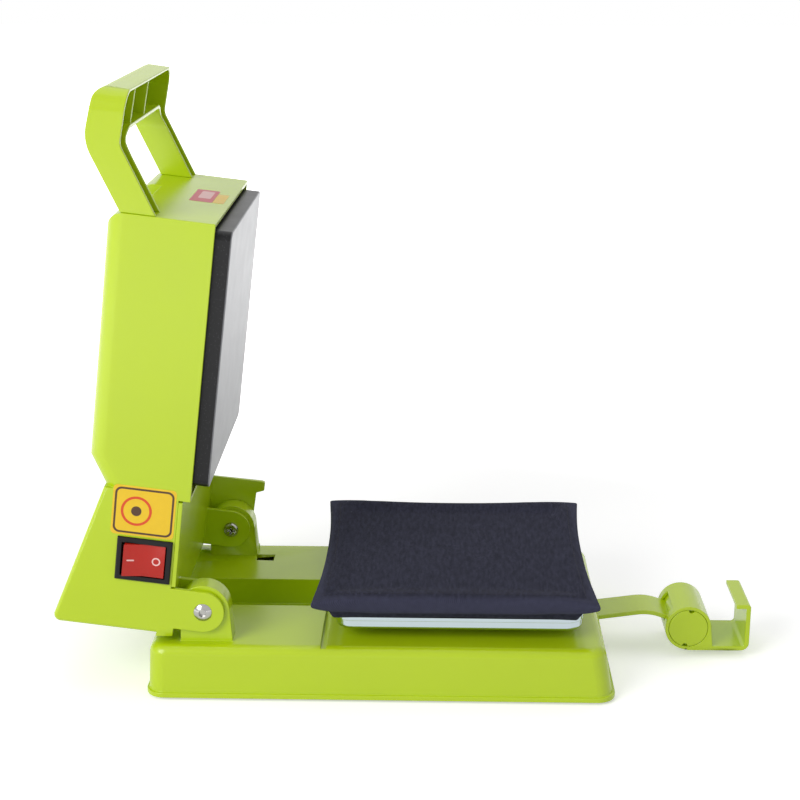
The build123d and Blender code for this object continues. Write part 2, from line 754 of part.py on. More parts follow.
def across(face, y0, y1):
    """A flat face in x and z, thickened from y0 to y1."""
    return Pos(0, (y0 + y1) / 2, 0) * extrude(Plane.XZ * face, (y1 - y0) / 2, both=True)


def neck_solid():
    """The neck with its rounded tail corner and eased edges."""
    neck = side_solid(neck_face(0), hood_half)
    tail = [e for e in neck.edges().filter_by(Axis.Y) if e.center().X < 0 and e.center().Z > back_z]
    neck = fillet(tail, NECK_CORNER)
    sides = [e for e in neck.edges() if abs(e.center().Y) > hood_half - 0.01 and e.center().Z > slope_z1]
    return fillet(sides, NECK_SIDE_ROUND)


slope_middle = ((slope_x1 - NECK_BOTTOM) / 2, (slope_z1 + tail_z) / 2)
slope_plane = Plane(
    origin=(slope_middle[0], 0, slope_middle[1]),
    x_dir=(0, -1, 0),
    z_dir=(sin(slope_turn), 0, cos(slope_turn)),
)
switch_x = SWITCH_FROM_AXIS
switch_z = SWITCH_FROM_HINGE
switch_cut_long = SWITCH_LONG - SWITCH_FRAME
switch_cut_tall = SWITCH_TALL - SWITCH_FRAME
boss_x = (hood_x0 + HOOD_BOSS_REAR, hood_x1 - HOOD_BOSS_FRONT)
boss_y = hood_half - HOOD_BOSS_SIDE
hood_boss_places = [(x, side * boss_y) for x in boss_x for side in (-1, 1)]
platen_back = face_z + PLATEN_THICK
element_top = platen_back + ELEMENT_THICK
shield_bottom = element_top + MAT_THICK
shield_top = shield_bottom + SHIELD_THICK
inlet_z = (neck_z + tail_z) / 2 + INLET_ABOVE_MIDDLE
catch_top = back_z - CATCH_TOP_DROP
catch_floor = back_z - CATCH_FLOOR_DROP


def panel_block(long, tall, corner, z0, z1, x=0.0, y=0.0):
    """A rounded slab set on the neck's rear slope, from depth z0 to z1."""
    plane = slope_plane.offset(z0)
    return extrude(plane * (Pos(x, y) * RectangleRounded(long, tall, corner)), z1 - z0)


def panel_rod(radius, z0, z1, x=0.0, y=0.0):
    """A round rod square to the neck's rear slope, from depth z0 to z1."""
    return extrude(slope_plane.offset(z0) * (Pos(x, y) * Circle(radius)), z1 - z0)


def switch_block(tall, long, out, back):
    """A box about the middle of the switch, between two distances out from the near wall."""
    return box_between(
        switch_x - tall / 2, switch_x + tall / 2, -hood_half - out, -hood_half - back,
        switch_z - long / 2, switch_z + long / 2,
    )


def inlet_block(inset, x0, x1):
    """A box with the inlet's outline, drawn in by an inset, between two depths from the neck's end."""
    half_long = INLET_LONG / 2 - inset
    half_tall = INLET_TALL / 2 - inset
    return box_between(
        x0 - NECK_BOTTOM, x1 - NECK_BOTTOM, -half_long, half_long, inlet_z - half_tall, inlet_z + half_tall
    )


def hood_shell():
    """The hood's outer moulding, with the neck, the outer ears and the catch recess."""
    outer = hood_box(0, rim_z, HOOD_ROUNDING) + neck_solid()
    void = hood_box(WALL, rim_z - 1, HOOD_ROUNDING - WALL)
    neck_void = side_solid(neck_face(WALL), hood_half - WALL)
    mouth_half = ear_inner - NECK_MOUTH_SIDE
    mouth = box_between(
        NECK_MOUTH_REAR - NECK_BOTTOM, COVER_END - WALL, -mouth_half, mouth_half, neck_z - 1, neck_z + WALL + 1
    )
    shell = outer - void - neck_void - mouth
    for x, y in hood_boss_places:
        boss = post(BOSS_DIAMETER / 2, shield_top, back_z - 1, x, y)
        hole_top = shield_bottom + SHIELD_SCREW_LONG + TIP_ROOM
        shell += boss - post(SCREW_SHANK / 2, shield_top - 1, hole_top, x, y)
    wire_place = Location((hood_x0 + WALL / 2, 0, neck_z + WIRE_HOLE), (0, 90, 0))
    shell -= wire_place * Cylinder(WIRE_HOLE / 2, 3 * WALL)
    cup = box_between(
        hood_x1 - CATCH_LONG - 3 * CATCH_STRIP, hood_x1 - 1, -CATCH_HALF - CATCH_STRIP, CATCH_HALF + CATCH_STRIP,
        catch_floor - CATCH_STRIP, back_z - 1,
    )
    shell += cup & outer
    shell -= box_between(
        hood_x1 - CATCH_LONG - CATCH_STRIP, hood_x1 - CATCH_STRIP, -CATCH_HALF, CATCH_HALF,
        catch_floor, back_z + 1,
    )
    shell -= box_between(
        hood_x1 - CATCH_STRIP - 1, hood_x1 + 1, -CATCH_HALF, CATCH_HALF, catch_top, back_z + 1
    )
    ear = ear_outline()
    shell += across(ear, ear_inner, hood_half)
    shell += across(ear, -hood_half, -ear_inner)
    shell += across(hook_plate_outline(), ear_inner, hood_half)
    tab_points = [
        (-NECK_BOTTOM - TAB_DROP, neck_z + TAB_ABOVE),
        (-NECK_BOTTOM - TAB_TIP, neck_z - TAB_BELOW),
        (-EAR_RADIUS + 1, neck_z - TAB_BELOW),
        (-EAR_RADIUS + 1, neck_z + TAB_ABOVE),
    ]
    tab = make_face(Polyline(*tab_points, close=True))
    shell += across(tab, ear_inner, hood_half)
    shell += across(tab, -hood_half, -ear_inner)
    shell -= cross_rod(HINGE_BARREL / 2, -hood_half - 1, hood_half + 1)
    shell -= switch_block(switch_cut_tall, switch_cut_long, 1, -WALL - 1)
    shell -= panel_block(panel_long, PANEL_TALL, PANEL_CORNER, -PANEL_THICK, 1)
    ledge_long = panel_long - 2 * PANEL_LEDGE
    shell -= panel_block(ledge_long, PANEL_TALL - 2 * PANEL_LEDGE, PANEL_CORNER, -2 * WALL, 1)
    return shell - inlet_block(INLET_FRAME, -1, WALL + 1)


def hood_inner_cover():
    """The cover that closes the front of the neck and carries the inner ears."""
    plate = box_between(COVER_START, COVER_END, -hood_half, hood_half, neck_z - WALL, neck_z)
    plate += box_between(-EAR_RADIUS, COVER_START + 1, -post_outer, post_outer, neck_z - WALL, neck_z)
    plate -= box_between(
        -EAR_RADIUS, HOOK_PLATE_TOP + 0.3, ear_inner - SEAT_GAP / 3, hood_half + 1, neck_z - WALL - 1, neck_z + 1
    )
    ear = ear_outline() & Pos(0, neck_z / 2 - WALL / 2 - 10) * Rectangle(4 * EAR_RADIUS, neck_z - WALL + 21)
    plate += across(ear, inner_ear_inner, inner_ear_outer)
    plate += across(ear, -inner_ear_outer, -inner_ear_inner)
    plate -= cross_rod(HINGE_BARREL / 2, -hood_half - 1, hood_half + 1)
    return plate


def handle_points():
    """The handle's side outline: two slanted legs that turn into an upright grip."""
    low = rim_z + HANDLE_ROOT_LOW
    high = rim_z + HANDLE_ROOT_HIGH
    knee = (hood_x1 + HANDLE_KNEE_OUT, rim_z + HANDLE_KNEE_UP)
    top = (hood_x1 + HANDLE_TOP_OUT, rim_z + HANDLE_TOP_UP)
    low_slope = (knee[1] - low) / HANDLE_KNEE_OUT
    high_slope = (top[1] - high) / HANDLE_TOP_OUT
    return [
        (hood_x1 - HANDLE_SUNK, low - HANDLE_SUNK * low_slope),
        knee,
        (hood_x1 + HANDLE_LENGTH - HANDLE_GRIP_LEAN, rim_z + HANDLE_GRIP_LOW),
        (hood_x1 + HANDLE_LENGTH, rim_z + HANDLE_TOP_UP - HANDLE_TOP_FALL),
        top,
        (hood_x1 - HANDLE_SUNK, high - HANDLE_SUNK * high_slope),
    ]


def handle():
    """The carrying handle: a channel moulding, open towards the platen's side."""
    points = handle_points()
    face = make_face(Polyline(*points, close=True))
    tip = hood_x1 + HANDLE_LENGTH
    face = fillet(nearest(face, *points[4]), HANDLE_TOP_BEND)
    face = fillet(nearest(face, *points[3]), HANDLE_KNEE_BEND)
    face = fillet(nearest(face, *points[1]), HANDLE_KNEE_BEND)
    block = across(face, -handle_half, handle_half)
    inner_half = handle_half - HANDLE_LEG_WIDE
    lip = hood_x1 + HANDLE_LIP_OUT
    window = handle_plan(lip, inner_half, WINDOW_CORNER)
    land = handle_plan(lip + HANDLE_WALL, inner_half + HANDLE_WALL, WINDOW_CORNER + HANDLE_WALL)
    room = handle_plan(tip - HANDLE_WALL, handle_half - HANDLE_WALL, HANDLE_CORNER - HANDLE_WALL)
    block &= handle_plan(tip, handle_half, HANDLE_CORNER)
    trough = (room - land) & Pos(0, 0, -HANDLE_WEB) * across(face, -handle_half, handle_half)
    piece = block - window - trough
    for y in RIB_PLACES:
        rib = box_between(lip + 1, tip - 1, y - RIB_THICK / 2, y + RIB_THICK / 2, rim_z, 2 * back_z)
        rib &= Pos(0, 0, RIB_SUNK) * across(face, -handle_half, handle_half)
        piece += rib & block
    front = box_between(hood_x1 - CATCH_LONG, hood_x1, -inner_half, inner_half, rim_z, back_z)
    return piece - (hood_box(0, rim_z, HOOD_ROUNDING) + front)


def handle_plan(x1, half, corner):
    """A tall block from inside the hood to x1, whose two outer corners are rounded in plan."""
    x0 = hood_x1 - 2 * HANDLE_SUNK
    plan = Pos((x0 + x1) / 2, 0) * Rectangle(x1 - x0, 2 * half)
    plan = fillet(plan.vertices().sort_by(Axis.X)[-2:], corner)
    return extrude(plan, 2 * back_z, both=True)


# Heater stack


standoff_places = corners(
    PLATEN_FROM_HINGE + PLATEN_SIZE / 2, PLATEN_SIZE / 2 - STANDOFF_INSET, PLATEN_SIZE / 2 - STANDOFF_INSET
)
platen_x = PLATEN_FROM_HINGE + PLATEN_SIZE / 2


def heat_platen():
    """The cast plate, with blind threaded holes on its back."""
    plate = rounded_slab(PLATEN_SIZE, PLATEN_SIZE, face_z, platen_back, PLATEN_CORNER, platen_x)
    plate = fillet(plate.faces().sort_by(Axis.Z)[0].edges(), 0.8)
    for x, y in standoff_places:
        plate -= post(STUD_DIAMETER / 2, platen_back - STUD_BITE - TIP_ROOM, platen_back + 1, x, y)
    return plate


def heating_element():
    """The foil heater that lies on the platen's back."""
    sheet = rounded_slab(PLATEN_SIZE - 8, PLATEN_SIZE - 8, platen_back, element_top, 4.0, platen_x)
    for x, y in standoff_places:
        sheet -= post(STANDOFF_DIAMETER / 2 + 1, platen_back - 1, element_top + 1, x, y)
    return sheet - post(THERMOSTAT_DIAMETER / 2 + 1, platen_back - 1, element_top + 1, platen_x, 0)


def insulation_mat():
    """The mineral wool mat between the heater and the shield."""
    slab = rounded_slab(PLATEN_SIZE - 4, PLATEN_SIZE - 4, element_top, shield_bottom, 4.0, platen_x)
    for x, y in standoff_places:
        slab -= post(STANDOFF_DIAMETER / 2 + 1, element_top - 1, shield_bottom + 1, x, y)
    for x, y in hood_boss_places:
        slab -= post(SCREW_HEAD / 2 + 1, shield_bottom - PAN_HEAD_TALL - TIP_ROOM, shield_bottom + 1, x, y)
    slab -= post(THERMOSTAT_DIAMETER / 2 + 2, element_top - 1, shield_bottom + 1, platen_x, 0)
    return slab - box_between(
        platen_x - 30, platen_x - 12, -4, 4, element_top - 1, element_top + 6
    )


def heat_shield():
    """The folded steel sheet over the mat, held by the hood's bosses."""
    sheet = rounded_slab(PLATEN_SIZE, PLATEN_SIZE, shield_bottom, shield_top, 3.0, platen_x)
    for x, y in hood_boss_places:
        tongue = rounded_slab(14, 14, shield_bottom, shield_top, 3.0, x, y)
        sheet += tongue
        sheet -= post(SCREW_SHANK / 2 + SCREW_ROOM, shield_bottom - 1, shield_top + 1, x, y)
    for x, y in standoff_places:
        sheet -= post(STUD_DIAMETER / 2 + SCREW_ROOM, shield_bottom - 1, shield_top + 1, x, y)
    return sheet - post(THERMOSTAT_DIAMETER / 2 + 2, shield_bottom - 1, shield_top + 1, platen_x, 0)


def platen_standoffs():
    """Four spacers between the platen and the shield."""
    tubes = []
    for x, y in standoff_places:
        tube = post(STANDOFF_DIAMETER / 2, platen_back, shield_bottom, x, y)
        tubes.append(tube - post(STUD_DIAMETER / 2 + SCREW_ROOM, platen_back - 1, shield_bottom + 1, x, y))
    return Compound(tubes)


def platen_screws():
    """The screws through the shield and the spacers into the platen."""
    long = shield_top - platen_back + STUD_BITE
    return Compound(
        [pan_screw(x, y, shield_top, STUD_HEAD, PAN_HEAD_TALL, STUD_DIAMETER, long) for x, y in standoff_places]
    )


def shield_screws():
    """The screws that hold the shield to the hood's bosses."""
    sizes = (SCREW_HEAD, PAN_HEAD_TALL, SCREW_SHANK, SHIELD_SCREW_LONG)
    return Compound([pan_screw(x, y, shield_bottom, *sizes, up=-1) for x, y in hood_boss_places])


def thermostat():
    """The bimetal disc thermostat on the platen's back, with its two tabs."""
    can = post(THERMOSTAT_DIAMETER / 2, platen_back, platen_back + THERMOSTAT_TALL, platen_x, 0)
    can += post(THERMOSTAT_DIAMETER / 2 - 3, platen_back + THERMOSTAT_TALL, shield_top + 2, platen_x, 0)
    for side in (-1, 1):
        can += box_between(
            platen_x - 3, platen_x + 3, side * 3.0 - 0.4, side * 3.0 + 0.4, shield_top + 1, shield_top + 9
        )
    return can


def thermal_fuse():
    """The one-shot fuse that lies on the heater."""
    fuse = Location((platen_x - 21, 0, element_top + 2), (0, 90, 0)) * Cylinder(2.0, 14)
    return fuse


# Rocker switch

switch_well_long = switch_cut_long - 2 * RUN_GAP - 2 * SWITCH_WALL
switch_well_tall = switch_cut_tall - 2 * RUN_GAP - 2 * SWITCH_WALL
rocker_y = ROCKER_PIVOT_DEEP - SWITCH_BEZEL - hood_half


def rocker_pin(side, radius, inner):
    """One of the rocker's two pins, from a distance to the middle out to the wall of the well."""
    outer = switch_well_tall / 2 + SWITCH_WALL / 2
    middle = switch_x + side * (inner + outer) / 2
    return Location((middle, rocker_y, switch_z), (0, 90, 0)) * Cylinder(radius, outer - inner)


def switch_body():
    """The switch's frame, clipped into the near wall, with its terminals."""
    bezel = switch_block(SWITCH_TALL, SWITCH_LONG, SWITCH_BEZEL, 0)
    bezel = chamfer(bezel.faces().sort_by(Axis.Y)[0].edges(), SWITCH_BEZEL_EDGE)
    body = bezel + switch_block(
        switch_cut_tall - 2 * RUN_GAP, switch_cut_long - 2 * RUN_GAP, 0, -SWITCH_DEEP
    )
    body -= switch_block(switch_well_tall, switch_well_long, SWITCH_BEZEL + 1, -SWITCH_WELL)
    for side in (-1, 1):
        for step in (-1, 1):
            body += Pos(side * switch_cut_tall / 4, 0, step * switch_cut_long / 4) * switch_block(
                TERMINAL_WIDE, TERMINAL_THICK, 1 - SWITCH_DEEP, -SWITCH_DEEP - TERMINAL_LONG
            )
        body += rocker_pin(side, ROCKER_PIN / 2, switch_well_tall / 2 - SWITCH_WALL + RUN_GAP)
    return body


def switch_rocker():
    """The rocker: two faces that meet in a shallow valley over its pins."""
    half = switch_well_long / 2 - ROCKER_END_GAP
    foot = half - ROCKER_DRAFT
    valley = half * sin(radians(ROCKER_TILT))
    points = [
        (-half, -ROCKER_PROUD), (0, valley - ROCKER_PROUD), (half, -ROCKER_PROUD),
        (foot, ROCKER_PIVOT_DEEP), (0, ROCKER_PROUD), (-foot, ROCKER_PIVOT_DEEP),
    ]
    plane = Plane(origin=(switch_x, rocker_y, switch_z), x_dir=(0, 0, 1), z_dir=(-1, 0, 0))
    outline = plane * make_face(Polyline(*points, close=True))
    body = extrude(outline, switch_well_tall / 2 - ROCKER_SIDE_GAP, both=True)
    for side in (-1, 1):
        body -= rocker_pin(side, ROCKER_PIN / 2 + RUN_GAP, switch_well_tall / 2 - SWITCH_WALL - RUN_GAP)
    return body.rotate(Axis((switch_x, rocker_y, switch_z), (1, 0, 0)), ROCKER_THROW)


# Control panel on the rear slope


window_x = WINDOW_MARGIN + WINDOW_LONG / 2 - panel_long / 2
button_x = window_x + WINDOW_LONG / 2 + BUTTON_GAP + BUTTON_DIAMETER / 2
button_places = [button_x + BUTTON_PITCH * step for step in range(3)]
board_top = -BOARD_DEPTH
board_low = board_top - BOARD_THICK
board_posts = corners(0, board_long / 2 - BOARD_POST_INSET, board_tall / 2 - BOARD_POST_INSET)
button_bottom = board_top + TACT_TALL + BUTTON_TRAVEL + 2 * RUN_GAP


def control_panel():
    """The panel plate, with its window, three button holes and four board pillars."""
    rim = 2 * SCREW_ROOM
    plate = panel_block(panel_long - rim, PANEL_TALL - rim, PANEL_CORNER - SCREW_ROOM, -PANEL_THICK, 0)
    plate -= panel_block(WINDOW_LONG, WINDOW_TALL, WINDOW_ROUND, -PANEL_THICK - 1, 1, window_x)
    for x in button_places:
        plate -= panel_rod(BUTTON_DIAMETER / 2 + 2 * RUN_GAP, -PANEL_THICK - 1, 1, x)
    for x, y in board_posts:
        plate += panel_rod(1.5 * BOARD_SCREW, board_top, -PANEL_THICK, x, y)
        plate -= panel_rod(BOARD_SCREW / 2, board_top - 1, board_top + BOARD_SCREW_BITE + TIP_ROOM, x, y)
    return plate


def display_window():
    """The clear window over the digits."""
    window_top = WINDOW_THICK - PANEL_THICK
    return panel_block(WINDOW_LONG, WINDOW_TALL, WINDOW_ROUND, -PANEL_THICK, window_top, window_x)


def display_module():
    """The digit block under the window."""
    long = WINDOW_LONG - 2 * WINDOW_ROUND
    tall = WINDOW_TALL - 2 * WINDOW_ROUND
    return panel_block(long, tall, 1.0, board_top, -PANEL_THICK - 2 * RUN_GAP, window_x)


def board_block(size, x):
    """A component that hangs under the board."""
    long, tall, deep = size
    return panel_block(long, tall, 1.0, board_low - deep, board_low, x)


def control_board():
    """The circuit board with a transformer and a relay on its underside."""
    board = panel_block(board_long, board_tall, 1.0, board_low, board_top)
    for x, y in board_posts:
        board -= panel_rod(BOARD_SCREW / 2 + SCREW_ROOM, board_low - 1, board_top + 1, x, y)
    board += board_block(TRANSFORMER_SIZE, -board_long / 4)
    board += board_block(RELAY_SIZE, board_long / 12)
    for x in button_places:
        board += panel_block(TACT_SIZE, TACT_SIZE, 0.5, board_top, board_top + TACT_TALL, x)
    return board


def board_screws():
    """The screws that hold the board to the panel's pillars."""
    screws = []
    for x, y in board_posts:
        head = panel_rod(BOARD_SCREW, board_low - BOARD_SCREW_HEAD, board_low, x, y)
        screws.append(head + panel_rod(BOARD_SCREW / 2, board_low, board_top + BOARD_SCREW_BITE, x, y))
    return Compound(screws)


def push_button(x):
    """One push button: a cap with an eased rim, on a flange under the panel."""
    cap = panel_rod(BUTTON_DIAMETER / 2, -PANEL_THICK, BUTTON_PROUD, x)
    rims = [e for e in cap.edges() if slope_plane.to_local_coords(e.center()).Z > BUTTON_PROUD - 0.01]
    cap = chamfer(rims, BUTTON_EDGE)
    flange_top = -PANEL_THICK - 2 * RUN_GAP
    cap += panel_rod(BUTTON_DIAMETER / 2 + BUTTON_FLANGE, flange_top - BUTTON_FLANGE, flange_top, x)
    return cap + panel_rod(BUTTON_DIAMETER / 2 - BUTTON_FLANGE, button_bottom, -PANEL_THICK, x)


# Mains inlet


def power_inlet():
    """The inlet socket in the neck's bottom wall, with three pins in its recess."""
    bezel = fillet(inlet_block(0, -INLET_BEZEL, 0).edges().filter_by(Axis.X), INLET_CORNER)
    body = bezel + inlet_block(INLET_FRAME + RUN_GAP, 0, INLET_DEEP)
    floor_x = INLET_RECESS_DEEP - INLET_BEZEL - NECK_BOTTOM
    recess = box_between(
        -NECK_BOTTOM - INLET_BEZEL - 1, floor_x, -INLET_RECESS_LONG / 2, INLET_RECESS_LONG / 2,
        inlet_z - INLET_RECESS_TALL / 2, inlet_z + INLET_RECESS_TALL / 2,
    )
    top_edges = [e for e in recess.edges().filter_by(Axis.X) if e.center().Z > inlet_z]
    body -= chamfer(top_edges, INLET_RECESS_CUT)
    for y, z in INLET_PINS:
        pin_x = floor_x - INLET_PIN_LONG / 2
        body += Pos(pin_x, y, inlet_z + z) * Box(INLET_PIN_LONG + 1, INLET_PIN_THICK, INLET_PIN_TALL)
    return body


# Latch

barrel_x = latch_x + LATCH_REACH
barrel_z = latch_z - LATCH_BARREL_DROP


def strap_solid(thick, half_width):
    """The curved strap between the pivot and the barrel."""
    start = (latch_x, latch_z - STRAP_START_DROP)
    peak = (latch_x + STRAP_PEAK_OUT, latch_z - STRAP_START_DROP + STRAP_PEAK_UP)
    end = (barrel_x - STRAP_END_SHORT, barrel_z + STRAP_END_UP)
    path = FilletPolyline(start, peak, end, radius=STRAP_BEND)
    return across(trace(path, thick), -half_width, half_width)


def latch_arm():
    """The strap with its pivot eye."""
    arm = strap_solid(STRAP_THICK, STRAP_HALF)
    arm += cross_rod(PIVOT_EYE, -STRAP_HALF, STRAP_HALF, latch_x, latch_z)
    return arm - cross_rod(PIVOT_PIN / 2 + RUN_GAP, -STRAP_HALF - 1, STRAP_HALF + 1, latch_x, latch_z)


def latch_pin():
    """The steel pin that the arm swings on."""
    half = STRAP_HALF + SEAT_GAP + WALL + PIVOT_PIN_SEAT
    return cross_rod(PIVOT_PIN / 2, -half, half, latch_x, latch_z)


def latch_core():
    """The drum at the end of the strap that the hook swivels on, with tool notches at its ends."""
    drum = cross_rod(CORE_RADIUS, -BARREL_HALF, BARREL_HALF, barrel_x, barrel_z)
    for side in (-1, 1):
        for turn in (CORE_NOTCH_TURN, CORE_NOTCH_TURN + 180):
            x = barrel_x + CORE_RADIUS * sin(radians(turn))
            z = barrel_z + CORE_RADIUS * cos(radians(turn))
            drum -= Pos(x, side * BARREL_HALF, z) * cross_rod(CORE_NOTCH, -CORE_NOTCH_DEEP, CORE_NOTCH_DEEP)
    return drum - strap_solid(STRAP_THICK, STRAP_HALF)


def latch_hook():
    """The sleeve round the drum with its C-shaped hook."""
    low = -BARREL_RADIUS - HOOK_SOLE_DROP
    foot = Polyline(
        (0, low), (HOOK_FOOT_OUT, low), (HOOK_FOOT_OUT, low + HOOK_WALL), (BARREL_RADIUS, 0), (0, 0), close=True
    )
    sole = Pos(HOOK_REACH / 2, low + HOOK_WALL / 2) * Rectangle(HOOK_REACH, HOOK_WALL)
    wall_tall = HOOK_RISE - low
    wall = Pos(HOOK_REACH - HOOK_WALL / 2, low + wall_tall / 2) * Rectangle(HOOK_WALL, wall_tall)
    flange = Pos(HOOK_REACH - HOOK_FLANGE / 2, HOOK_RISE - HOOK_WALL / 2) * Rectangle(HOOK_FLANGE, HOOK_WALL)
    profile = Circle(BARREL_RADIUS) + make_face(foot) + sole + wall + flange
    profile = fillet(nearest(profile, HOOK_REACH, low), HOOK_CORNER)
    profile = fillet(nearest(profile, HOOK_REACH - HOOK_WALL, low + HOOK_WALL), HOOK_CORNER - HOOK_WALL)
    profile = fillet(nearest(profile, HOOK_REACH, HOOK_RISE), HOOK_TIP_ROUND)
    hook = across(profile, -BARREL_HALF, BARREL_HALF)
    hook -= cross_rod(CORE_RADIUS + SLEEVE_GAP, -BARREL_HALF - 1, BARREL_HALF + 1)
    entry = degrees(asin((LATCH_BARREL_DROP + HOOK_SLOT_DROP) / BARREL_RADIUS))
    half_slot = degrees(asin((STRAP_THICK / 2 + HOOK_SLOT_ROOM) / CORE_RADIUS))
    turns = (
        180 - entry + half_slot + HOOK_SLOT_SPARE,
        180 - entry - half_slot - HOOK_SWING - HOOK_SLOT_SPARE / 2,
    )
    reach = 2 * BARREL_RADIUS
    ends = [(reach * cos(radians(turn)), reach * sin(radians(turn))) for turn in turns]
    wedge = make_face(Polyline((0, 0), *ends, close=True))
    hook -= across(wedge, -STRAP_HALF - SEAT_GAP, STRAP_HALF + SEAT_GAP)
    return Location((barrel_x, 0, barrel_z)) * hook


# Build every sub-part, find the middle of the whole press and write the parts about it

base_makers = [
    base_cover, base_bottom_plate, rubber_feet, base_screws, tray, tray_foam, tray_cushions,
    tray_screws, press_pad, latch_arm, latch_pin, latch_core, latch_hook,
]
hood_makers = [
    hinge_nuts, hinge_screws, hood_shell, hood_inner_cover, handle, heat_platen, heating_element,
    insulation_mat, heat_shield, platen_standoffs, platen_screws, shield_screws, thermostat,
    thermal_fuse, switch_body, switch_rocker, control_panel, display_window, display_module,
    control_board, board_screws, power_inlet,
]
parts = {make.__name__: make().solids() for make in base_makers}
for make in hood_makers:
    parts[make.__name__] = swung_open(make())
for name, place in zip(("button_set", "button_down", "button_up"), button_places):
    parts[name] = swung_open(push_button(place))

boxes = [solid.bounding_box() for solids in parts.values() for solid in solids]
middle_x = (min(box.min.X for box in boxes) + max(box.max.X for box in boxes)) / 2
for name, solids in parts.items():
    save(name, solids, -middle_x)

print("hinge axis", hinge_x - middle_x, HINGE_HEIGHT)
print("latch pivot", latch_x - middle_x, latch_z, "barrel", barrel_x - middle_x, barrel_z)
print("middle", middle_x)
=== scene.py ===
"""Dresses the label heat press: moulded green shells, chromed tray, denim pad, switch and labels."""
import json
import math

import bmesh
import bpy
from mathutils import Matrix, Vector
from mathutils.bvhtree import BVHTree
from mathutils.geometry import intersect_point_line
from mathutils.kdtree import KDTree


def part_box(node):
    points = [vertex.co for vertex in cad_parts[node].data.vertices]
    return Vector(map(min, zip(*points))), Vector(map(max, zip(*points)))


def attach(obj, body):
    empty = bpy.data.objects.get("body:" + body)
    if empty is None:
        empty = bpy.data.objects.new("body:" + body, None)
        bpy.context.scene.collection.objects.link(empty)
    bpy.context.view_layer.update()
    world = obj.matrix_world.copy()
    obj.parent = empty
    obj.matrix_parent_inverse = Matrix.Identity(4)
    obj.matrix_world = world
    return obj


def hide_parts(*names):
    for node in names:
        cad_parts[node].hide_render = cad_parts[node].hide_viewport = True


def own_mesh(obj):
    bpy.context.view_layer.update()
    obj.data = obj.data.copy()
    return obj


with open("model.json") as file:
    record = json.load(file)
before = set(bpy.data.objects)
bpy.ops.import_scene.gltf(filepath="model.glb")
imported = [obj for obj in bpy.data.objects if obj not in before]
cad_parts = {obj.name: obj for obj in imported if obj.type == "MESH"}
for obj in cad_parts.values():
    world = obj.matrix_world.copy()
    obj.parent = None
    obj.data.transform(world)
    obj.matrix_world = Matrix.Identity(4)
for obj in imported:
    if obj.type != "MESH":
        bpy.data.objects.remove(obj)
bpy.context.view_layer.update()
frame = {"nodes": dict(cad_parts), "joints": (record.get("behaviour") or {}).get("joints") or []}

bl_info = {
    "name": "Label Heat Press",
    "version": (1, 0, 0),
    "blender": (4, 5, 0),
    "location": "View3D > Sidebar > Heat Press",
    "description": "Finishes of a clamshell label heat press around its fixed frame",
    "category": "Object",
}

MM = 0.001
JOINTS = {joint["name"]: joint for joint in frame["joints"]}
HINGE = Vector(JOINTS["hood_hinge"]["pos_m"])

# The hood stands open, leaning back past upright by this angle
HOOD_LEAN = math.radians(90 - max(JOINTS["hood_hinge"]["range_deg"]))
HOOD_UP = Vector((math.sin(HOOD_LEAN), 0, math.cos(HOOD_LEAN)))
HOOD_OUT = Vector((math.cos(HOOD_LEAN), 0, -math.sin(HOOD_LEAN)))
ACROSS = Vector((0, 1, 0))


def linear(hex_colour):
    """An sRGB hex colour as linear red, green and blue."""
    values = [int(hex_colour[i:i + 2], 16) / 255 for i in (1, 3, 5)]
    return tuple(v / 12.92 if v <= 0.04045 else ((v + 0.055) / 1.055) ** 2.4 for v in values)


def colour(name, hex_colour, description):
    """A colour property with an sRGB hex default."""
    return bpy.props.FloatVectorProperty(
        name=name, description=description, subtype="COLOR", size=3, min=0, max=1,
        default=linear(hex_colour),
    )


def length(name, millimetres, description):
    """A length property with its default in millimetres."""
    return bpy.props.FloatProperty(
        name=name, description=description, unit="LENGTH", default=millimetres * MM, precision=5
    )


class PressShells(bpy.types.PropertyGroup):
    """The moulded shells."""

    green: colour("Shell colour", "#B8D10E", "Colour of the moulded ABS shells")
    edge: length("Edge round", 0.4, "Radius on the moulded edges")
    grip_edge: length("Grip edge round", 0.5, "Radius on the edges of the handle")


class PressPad(bpy.types.PropertyGroup):
    """The denim pad and the tray under it."""

    denim: colour("Denim", "#12131D", "Warp colour of the pad's cover")
    fleck: colour("Denim fleck", "#424356", "Weft colour that shows between the warp threads")
    pitch: length("Twill pitch", 0.6, "Distance from one twill line to the next")
    rise: length("Rise", 14.0, "Height of the pad's middle over the tray's rim")
    ridge: length("Ridge", 15.8, "Height of the hem's ridge over the tray's rim")
    edge: length("Edge", 9.2, "Thickness of the pad along its sides")
    hem: length("Hem", 7.5, "Distance of the hem's stitches from the pad's edge")
    stitch: length("Stitch", 2.3, "Length of a stitch")
    gap: length("Stitch pitch", 3.3, "Distance from one stitch to the next")
    chrome: colour("Tray", "#BCC9CE", "Reflection colour of the chromed tray")


class PressFasteners(bpy.types.PropertyGroup):
    """The cross recesses of the screws."""

    hinge_span: length("Hinge recess", 5.4, "Span of the cross in a hinge screw's head")
    base_span: length("Base recess", 3.5, "Span of the cross in a base screw's head")
    wide: bpy.props.FloatProperty(
        name="Recess width", description="Width of a cross as a share of its span", default=0.25
    )
    deep: bpy.props.FloatProperty(
        name="Recess depth", description="Depth of a cross as a share of its span", default=0.3
    )


class PressSwitch(bpy.types.PropertyGroup):
    """The rocker switch and the labels."""

    red: colour("Rocker", "#B81E10", "Colour of the rocker")
    ink: colour("Switch ink", "#F0C4C0", "Colour of the marks on the rocker")
    label: colour("Label", "#EBC21C", "Colour of the side label's vinyl")
    border: colour("Label line", "#4A2C10", "Colour of the label's printed line")
    spot: colour("Label spot", "#D8481A", "Colour of the label's printed ring")
    badge: colour("Badge", "#C9505E", "Colour of the printed block on the hood's end")


